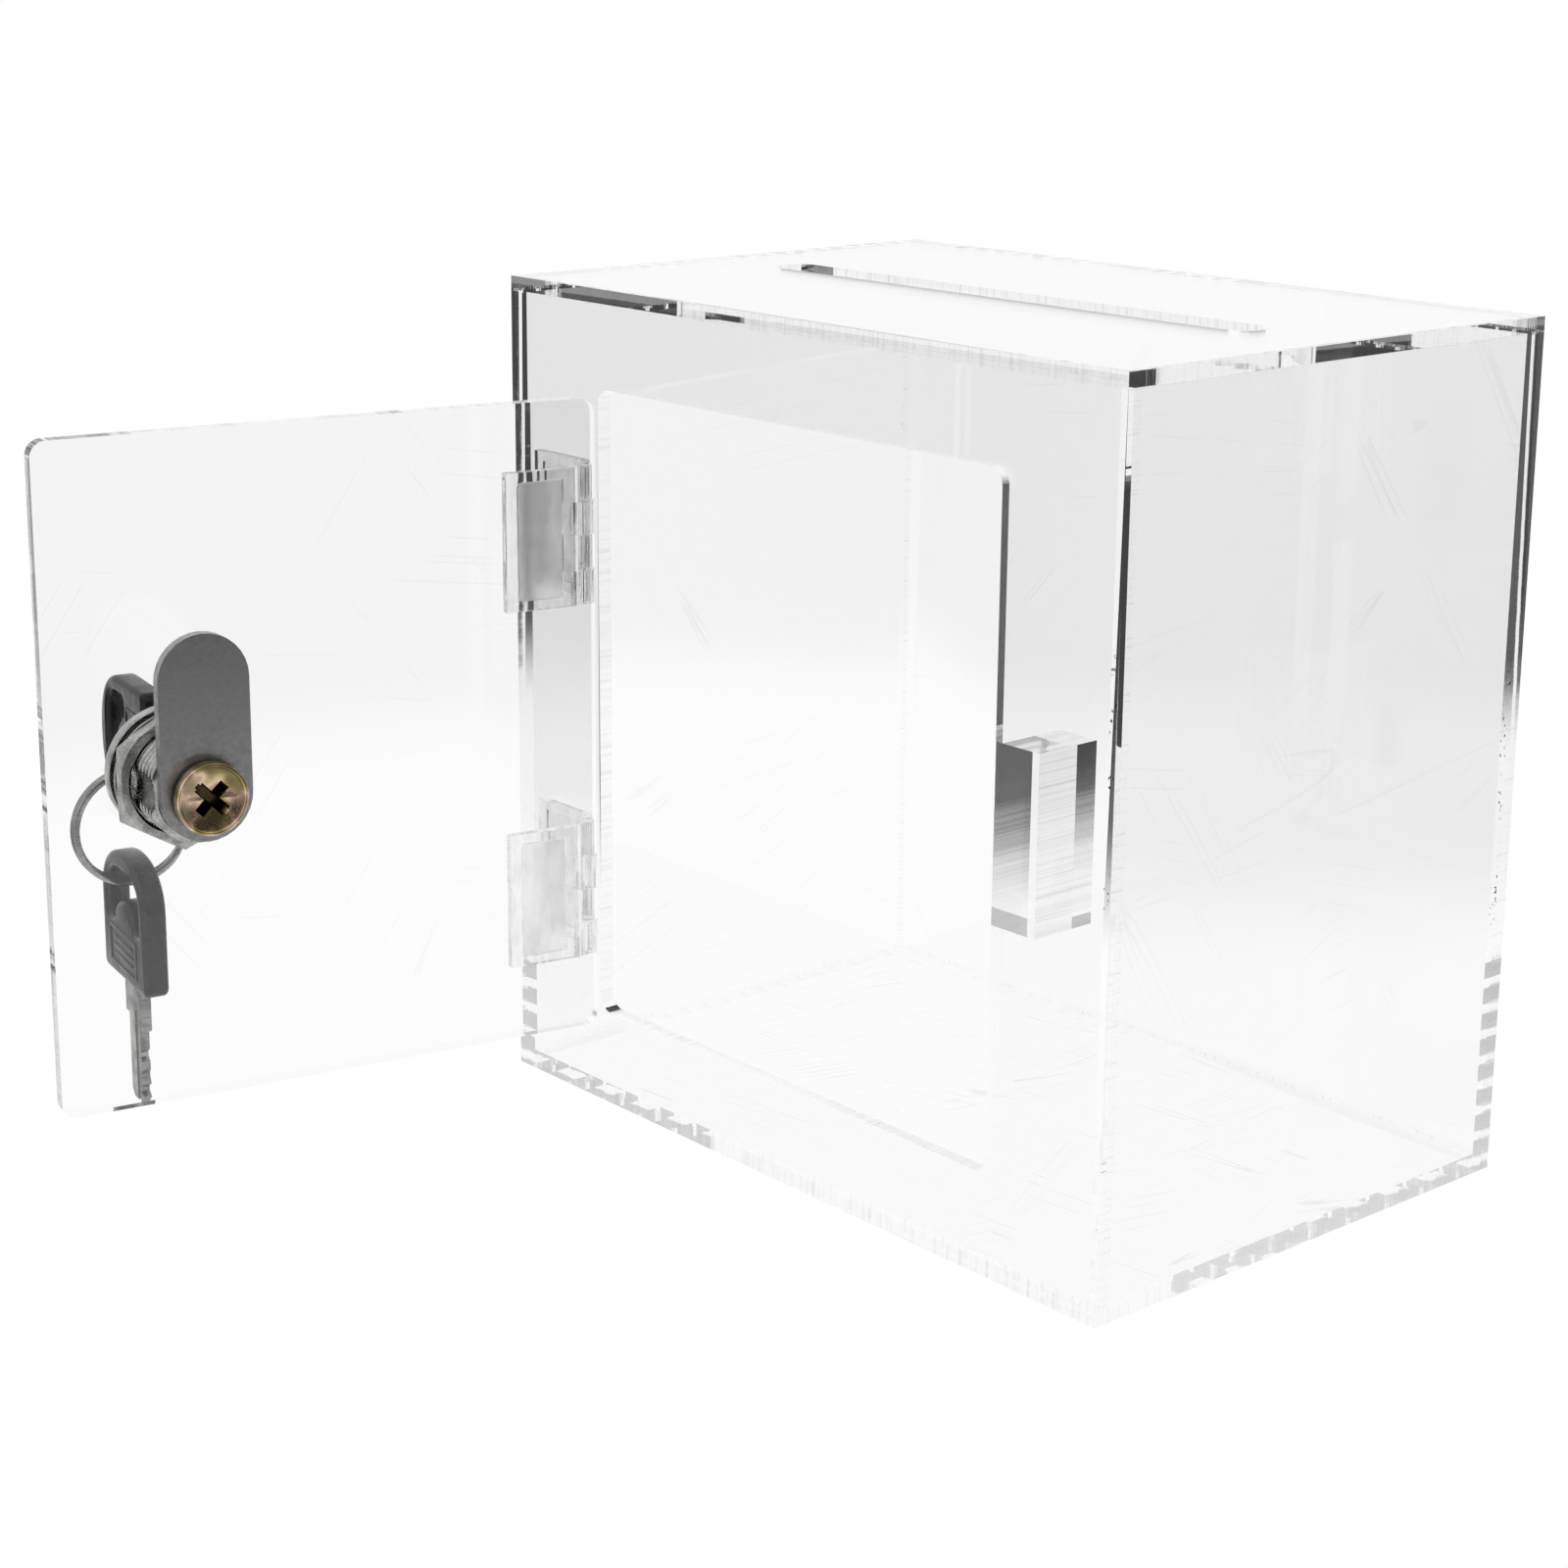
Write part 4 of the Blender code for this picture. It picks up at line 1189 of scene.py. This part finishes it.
# ---- keys ------------------------------------------------------------------------------------------------
@dataclass
class Key:
    """A flat key with a moulded bow, drawn from the top of its bow down: x across, y down, z through.

    Attributes:
        bow_name: The bow's node.
        blade_name: The blade's node.
        body: The body that carries the key.
        axes: Where the key's own axes stand in the frame.
        bitting: For each cut in the blade its place as a share of the blade's length, and its depth.
    """

    bow_name: str
    blade_name: str
    body: str
    axes: Matrix
    length: float = 23.6 * MM
    half_width: float = 11.25 * MM
    thickness: float = 4.5 * MM
    dome: float = 9 * MM
    rim: float = 2.8 * MM
    crown: float = 3.4 * MM
    tongue_half: float = 4.8 * MM
    tongue_top: float = 8.7 * MM
    eye_depth: float = 13 * MM
    edge: float = 1.0 * MM
    shank_half: float = 4.7 * MM
    shank_length: float = 8.3 * MM
    blade_half: float = 3 * MM
    blade_length: float = 13.9 * MM
    blade_thickness: float = 1.6 * MM
    blade_in_bow: float = 5 * MM
    bitting: tuple[Point2, ...] = ((0.35, 0.9 * MM), (0.62, 0.5 * MM), (0.82, 1.1 * MM))

    def build(self, black: bpy.types.Material, steel: bpy.types.Material) -> None:
        """Builds the bow and the blade."""
        self._bow(black)
        self._blade(steel)

    def _dome(self, inset_by: float, crown: float, squareness: float, steps: int = 36) -> Loop:
        """Lists the rounded end of the bow: a superellipse, inset by a rim."""
        half, rise, power = self.half_width - inset_by, self.dome - crown, 2 / squareness
        points = []
        for i in range(steps + 1):
            c, s = math.cos(math.pi * i / steps), math.sin(math.pi * i / steps)
            points.append((half * math.copysign(abs(c) ** power, c), self.dome - rise * s ** power))
        return points

    def _bow(self, black: bpy.types.Material) -> None:
        """Moulded bow: a round-edged plate with a horseshoe eye and a plain raised frame with grip bars."""
        corner = 1.6 * MM
        low_side = self.half_width - corner
        outline = (self._dome(0, 0, 2.2) + arc((-low_side, self.length - corner), corner, 180, 90, 8)
                   + arc((low_side, self.length - corner), corner, 90, 0, 8))
        inner = self.half_width - self.rim
        tongue = arc((0, self.tongue_top + self.tongue_half), self.tongue_half, 180, 360, 24)
        foot = 1.2 * MM
        eye = (self._dome(self.rim, self.crown, 3.0)
               + arc((-inner + foot, self.eye_depth - foot), foot, 180, 90, 5)
               + arc((-self.tongue_half - foot, self.eye_depth - foot), foot, 90, 0, 5)[:-1] + tongue[1:-1]
               + arc((self.tongue_half + foot, self.eye_depth - foot), foot, 180, 90, 5)
               + arc((inner - foot, self.eye_depth - foot), foot, 90, 0, 5))
        half = self.thickness / 2
        bm = SoftPlate(outline, -half, half, self.edge, [eye], 6).mesh()
        for side in (-1, 1):
            for bar in self._relief():
                low, high = sorted((side * (half - 0.2 * MM), side * (half + 0.16 * MM)))
                add_mesh(bm, SoftPlate(bar, low, high, 0.12 * MM, steps=2).mesh())
        piece(self.body + "_bow", bm, [black], self.body, [self.bow_name], self.axes, 40)

    def _relief(self) -> list[Loop]:
        """Lists the raised bars on the bow's lower half: a frame, and three plain grip bars inside it."""
        left, right, top, bottom, line = -7.2 * MM, 7.2 * MM, 14.4 * MM, 21.4 * MM, 0.55 * MM
        bars = [((left, top), (right, top + line)), ((left, bottom - line), (right, bottom)),
                ((left, top), (left + line, bottom)), ((right - line, top), (right, bottom))]
        bars += [((left + 2.2 * MM, y), (right - 2.2 * MM, y + line))
                 for y in (16.1 * MM, 17.6 * MM, 19.1 * MM)]
        return [rounded_rectangle(low, high, line * 0.45, 3) for low, high in bars]

    def _blade(self, steel: bpy.types.Material) -> None:
        """Stamped blade with its shoulders, its cuts, and a milled groove along each side."""
        wide, narrow = self.shank_half, self.blade_half
        start, step = self.length - self.blade_in_bow, self.length + self.shank_length
        end, chamfer = step + self.blade_length, 1.2 * MM
        cuts = []
        for share, depth in self.bitting:
            y = step + share * self.blade_length
            cuts += [(narrow, y - 1.1 * MM), (narrow - depth, y - 0.4 * MM), (narrow - depth, y + 0.4 * MM),
                     (narrow, y + 1.1 * MM)]
        outline = ([(wide, start), (wide, step - 0.4 * MM), (wide - 0.4 * MM, step), (narrow, step)] + cuts
                   + [(narrow, end - chamfer), (narrow - chamfer, end), (-narrow + chamfer, end),
                      (-narrow, end - chamfer), (-narrow, step - 1.6 * MM), (-wide, step - 1.6 * MM),
                      (-wide, start)])
        half = self.blade_thickness / 2
        bm = SoftPlate(outline, -half, half, 0.12 * MM, steps=2).mesh()
        grooves = []
        for side, middle in ((1, -0.9 * MM), (-1, 0.9 * MM)):
            low, high = sorted((side * (half - 0.45 * MM), side * (half + 1 * MM)))
            long = rounded_rectangle((middle - 0.75 * MM, self.length + 5.2 * MM),
                                     (middle + 0.75 * MM, end + 2 * MM), 0.7 * MM, 5)
            grooves.append(SoftPlate(long, low, high, 0.2 * MM, steps=2).mesh())
        piece(self.body + "_blade", carve(bm, grooves), [steel], self.body, [self.blade_name],
              self.axes, 30)


@dataclass
class SplitRing:
    """The split ring: two turns of flattened spring wire that lie on each other.

    Attributes:
        drop: How far its middle hangs below the joint.
        start: Where its wire starts, in degrees round it.
        kept: How much of its two turns the wire covers, so that its ends show.
        crossing: Where the wire starts to cross to its second turn, and for how long, as shares of it.
        air: Gap between its two turns.
        taper: How fast the wire reaches its full size at its ends, and the size that it starts with.
    """

    radius: float = 9.92 * MM
    drop: float = 5.1 * MM
    wire_wide: float = 1.36 * MM
    wire_thick: float = 0.96 * MM
    rounding: float = 0.44 * MM
    steps: int = 180
    start: float = 210
    kept: float = 0.985
    crossing: Point2 = (0.46, 0.08)
    air: float = 0.12 * MM
    taper: Point2 = (8, 0.55)

    def build(self, steel: bpy.types.Material) -> None:
        """Builds the ring."""
        section = rounded_rectangle((-self.wire_wide / 2, -self.wire_thick / 2),
                                    (self.wire_wide / 2, self.wire_thick / 2), self.rounding, 3)
        bm = bmesh.new()
        rings = []
        for i in range(self.steps + 1):
            share = i / self.steps
            angle = math.radians(self.start) + share * 2 * math.tau * self.kept
            cross = min(max((share - self.crossing[0]) / self.crossing[1], 0.0), 1.0)
            height = (cross * cross * (3 - 2 * cross) - 0.5) * (self.wire_thick + self.air)
            taper = min(1.0, *(self.taper[0] * way + self.taper[1] for way in (share, 1 - share)))
            rings.append([bm.verts.new(((self.radius + a * taper) * math.cos(angle), height + b * taper,
                                        (self.radius + a * taper) * math.sin(angle) - self.drop))
                          for a, b in section])
        bm.faces.new(rings[0])
        bm.faces.new(rings[-1])
        for one, two in zip(rings, rings[1:]):
            for k in range(len(section)):
                bm.faces.new((one[k - 1], one[k], two[k], two[k - 1]))
        bmesh.ops.recalc_face_normals(bm, faces=bm.faces)
        piece("split_ring", bm, [steel], "ring", ["key_ring"], joint_axes("ring_swing"), 40)


# ---- the studio ------------------------------------------------------------------------------------------
def dark_sides(tree: bpy.types.NodeTree, where: bpy.types.NodeSocket,
               sides: Iterable[Point3]) -> bpy.types.NodeSocket:
    """Finds how far a place or a direction lies towards the studio's dark sides.

    The dark sides stand for black cards: they show only in what the object mirrors or guides along a
    sheet, and the floor and the sweep stay white when looked at straight or through a clear wall.

    Args:
        tree: The node tree that the nodes join.
        where: A place on the floor, or a direction.
        sides: For each side its compass angle, and how far it is fully dark and dark at all, in degrees.

    Returns:
        A socket that is one in the middle of a dark side and zero on the white sweep.
    """
    flat = add_node(tree, "VectorMath", {1: (1, 1, 0)}, {0: where}, operation="MULTIPLY")
    level = add_node(tree, "VectorMath", {}, {0: flat.outputs[0]}, operation="NORMALIZE")
    found = []
    for angle, inner, outer in sides:
        to = (math.cos(math.radians(angle)), math.sin(math.radians(angle)), 0)
        near = add_node(tree, "VectorMath", {1: to}, {0: level.outputs[0]}, operation="DOT_PRODUCT")
        limits = {1: math.cos(math.radians(outer)), 2: math.cos(math.radians(inner))}
        found.append(add_node(tree, "MapRange", limits, {0: near.outputs["Value"]}, **SMOOTH).outputs[0])
    mirrored = add_node(tree, "LightPath").outputs["Glossy Depth"]
    seen = add_node(tree, "Math", {1: 1.0}, {0: mirrored}, operation="MINIMUM")
    return add_node(tree, "Math", {}, {0: largest(tree, found), 1: seen.outputs[0]},
                    operation="MULTIPLY").outputs[0]


@dataclass(frozen=True)
class WhiteFloor(Finish):
    """A white sweep lit evenly from all round, with black cards far out on two sides.

    It gives the eye a plain white ground, and dark light in edges that mirror its far parts.

    Attributes:
        sides: The dark sides: compass angle, and how far each is fully dark and dark at all, in degrees.
        fade: Distances from the middle at which the cards begin and are fully dark, in metres.
    """

    name: str = "white_floor"
    sides: tuple[Point3, ...] = ((7.0, 51.0, 67.0), (226.0, 13.0, 20.0))
    fade: Point2 = (0.19, 0.30)
    white: str = "#FFFFFF"
    dark: str = "#444444"

    def surface(self, tree: bpy.types.NodeTree) -> bpy.types.NodeSocket:
        """White light, darker far out on the dark sides."""
        where = add_node(tree, "TexCoord").outputs["Object"]
        far = add_node(tree, "VectorMath", {}, {0: where}, operation="LENGTH")
        out = add_node(tree, "MapRange", {1: self.fade[0], 2: self.fade[1]}, {0: far.outputs["Value"]},
                       **SMOOTH)
        dark = add_node(tree, "Math", {}, {0: dark_sides(tree, where, self.sides), 1: out.outputs[0]},
                        operation="MULTIPLY")
        colour = add_node(tree, "Mix", {6: linear(self.white), 7: linear(self.dark)}, {0: dark.outputs[0]},
                          data_type="RGBA")
        return add_node(tree, "Emission", {"Strength": 1.0}, {"Color": colour.outputs[2]}).outputs["Emission"]


@dataclass
class Studio:
    """White sweep, soft light and the camera.

    Attributes:
        lens: Focal length in millimetres, over a sensor 36 mm wide.
        place: Where the camera stands, in metres.
        turn: Its turn round each axis in degrees.
        shift: How far its picture is shifted, as a share of the sensor.
        sides: The room's dark sides: compass angle, and how far each is fully dark and dark at all.
        top: Sines of the heights at which the dark sides begin to fade and end.
        white: Colour of the sweep.
        dark: Colour of the dark sides.
        floor_radius: Radius of the floor in metres.
        floor_drop: How far the floor lies below the box.
        bounces: How often light may turn inside the object, enough for a guided path along a sheet.
        straight: How many weld faces it may pass.
    """

    lens: float = 71.62
    place: Point3 = (0.3788, -0.3826, 0.2159)
    turn: Point3 = (75.81, -0.28, 49.66)
    shift: Point2 = (0.030, -0.062)
    sides: tuple[Point3, ...] = ((24.0, 38.0, 52.0), (222.0, 16.0, 28.0))
    top: Point2 = (0.12, 0.62)
    white: str = "#FFFFFF"
    dark: str = "#8C8C8C"
    floor_radius: float = 8.0
    floor_drop: float = 0.4 * MM
    bounces: int = 160
    straight: int = 96

    def camera(self) -> None:
        """Stands the camera at the front right, a little above the lid."""
        data = bpy.data.cameras.new("camera")
        data.lens, data.sensor_width = self.lens, 36.0
        data.shift_x, data.shift_y = self.shift
        data.clip_start, data.clip_end = 0.01, 20.0
        made = bpy.data.objects.new("camera", data)
        made.location = self.place
        made.rotation_euler = [math.radians(a) for a in self.turn]
        bpy.context.scene.collection.objects.link(made)
        bpy.context.scene.camera = made

    def floor(self) -> None:
        """Lays the white floor, just under the box."""
        bm = bmesh.new()
        bmesh.ops.create_circle(bm, cap_ends=True, segments=96, radius=self.floor_radius)
        mesh = bpy.data.meshes.new("studio_floor")
        bm.to_mesh(mesh)
        bm.free()
        mesh.materials.append(WhiteFloor().build())
        made = bpy.data.objects.new("studio_floor", mesh)
        made.location = (0, 0, -self.floor_drop)
        bpy.context.scene.collection.objects.link(made)

    def world(self) -> None:
        """Makes the light of the room: a white sweep with two dark sides."""
        world = bpy.data.worlds.new("studio")
        bpy.context.scene.world = world
        world.use_nodes = True
        tree = world.node_tree
        tree.nodes.clear()
        where = add_node(tree, "TexCoord").outputs["Generated"]
        height = add_node(tree, "SeparateXYZ", {}, {0: where}).outputs[2]
        low = add_node(tree, "MapRange", {1: self.top[0], 2: self.top[1], 3: 1, 4: 0}, {0: height}, **SMOOTH)
        dark = add_node(tree, "Math", {}, {0: dark_sides(tree, where, self.sides), 1: low.outputs[0]},
                        operation="MULTIPLY")
        colour = add_node(tree, "Mix", {6: linear(self.white), 7: linear(self.dark)}, {0: dark.outputs[0]},
                          data_type="RGBA")
        back = add_node(tree, "Background", {"Strength": 1.0}, {"Color": colour.outputs[2]})
        add_node(tree, "OutputWorld", links={"Surface": back.outputs[0]})

    def build(self) -> None:
        """Sets up the whole studio."""
        self.camera()
        self.floor()
        self.world()
        scene = bpy.context.scene
        scene.view_settings.view_transform = "Standard"
        scene.cycles.max_bounces = self.bounces
        scene.cycles.transmission_bounces = self.bounces
        scene.cycles.glossy_bounces = self.bounces
        scene.cycles.transparent_max_bounces = self.straight


# ---- the whole -------------------------------------------------------------------------------------------
# A key's own axes, which run from the top of its bow down: in the lock's axes with that top 28.5 mm outside
# the head's face, and in the ring's axes with that top 5 mm above the place where the key hangs.
IN_LOCK = Matrix(((0, 0, -1, 0), (0, 1, 0, -28.5 * MM), (1, 0, 0, 0), (0, 0, 0, 1)))
ON_RING = Matrix(((0, 0, -1, 0), (1, 0, 0, 0), (0, -1, 0, 5.0 * MM), (0, 0, 0, 1)))

# Moulded clear polycarbonate, faintly rippled where it flowed into the mould: hinge corners that bend the
# light into thin grey and white lines.
MOULDED_CLEAR = CloudyPlastic("clear_moulded_polycarbonate", "#FAFAFA", "#E9E9E9", (0.45, 0.7), 0.03, 1.58,
                              Relief(1.6 * MM, 0.008 * MM, (1, 1, 0.35), 2))
# Cured acrylic foam adhesive with small air pockets: a milky area behind each hinge leaf that blurs what
# lies behind it.
ADHESIVE_PAD = CloudyPlastic("milky_adhesive", "#FDFDFD", "#F6F6F6", (0.35, 0.7), 0.7, 1.05,
                             Relief(1.1 * MM, 0.05 * MM, (1, 1, 0.5), 3))
# Bright plate over cast zinc: the lock's pale outside.
NICKEL = PlatedMetal("bright_nickel_plate", "#B2B2B0", "#868684", (0.10, 0.22), 3 * MM, 0.25 * MM, 0.002 * MM)
# Rolled sheet as it comes: an even, soft grey cam.
STEEL = PlatedMetal("satin_rolled_steel", "#A4A4A4", "#929292", (0.30, 0.38), 1.1 * MM, 0.3 * MM, 0.003 * MM)
# Plated spring wire: a ring with narrow dark and light lines along it.
WIRE = PlatedMetal("nickel_plated_wire", "#9C9C9B", "#747472", (0.14, 0.26), 3 * MM, 0.25 * MM, 0.002 * MM)
# Stamped sheet with long drawing marks: dull, streaked blades.
BLANK = PlatedMetal("stamped_steel_key", "#9A9A98", "#6C6C6A", (0.28, 0.42), 3 * MM, 0.2 * MM, 0.008 * MM,
                    (1, 1, 0.15))
# Brass under a worn nickel wash: a pale yellow plug face.
BRASS = PlatedMetal("nickel_washed_brass", "#C9BE95", "#9A8F66", (0.24, 0.40))


def main() -> None:
    """Builds every piece in order and reports it."""
    logging.basicConfig(level=logging.INFO, format="%(message)s")
    face = CastAcrylic().build()
    cut_flat = LaserCutEdge("laser_cut_edge_of_flat_sheet", (1, 1, 0)).build()
    cut_upright = LaserCutEdge("laser_cut_edge_of_upright_sheet", (1, 0, 1)).build()
    scuffed = CastAcrylic("scuffed_cast_acrylic", scratched="#DEDEDE", scratch_gap=4.5 * MM).build()
    weld = SolventWeld().build()
    Box().build(face, scuffed, {Plane.Z: cut_flat, Plane.Y: cut_upright, Plane.X: cut_upright}, weld)
    Door().build([face, cut_upright])
    clear, adhesive = MOULDED_CLEAR.build(), ADHESIVE_PAD.build()
    for which in ("upper", "lower"):
        Hinge(which).build(clear, adhesive)

    nickel, steel, wire, blank, brass = (made.build() for made in (NICKEL, STEEL, WIRE, BLANK, BRASS))
    Lock().build(nickel, steel, brass, YellowZinc().build())

    black = BlackAbs().build()
    Key("key_bow", "key_blade", "key", joint_axes("lock_turn") @ IN_LOCK).build(black, blank)
    Key("spare_key_bow", "spare_key_blade", "spare_key",
        joint_axes("spare_key_swing") @ ON_RING).build(black, blank)
    SplitRing().build(wire)
    Studio().build()


if __name__ == "__main__":
    main()
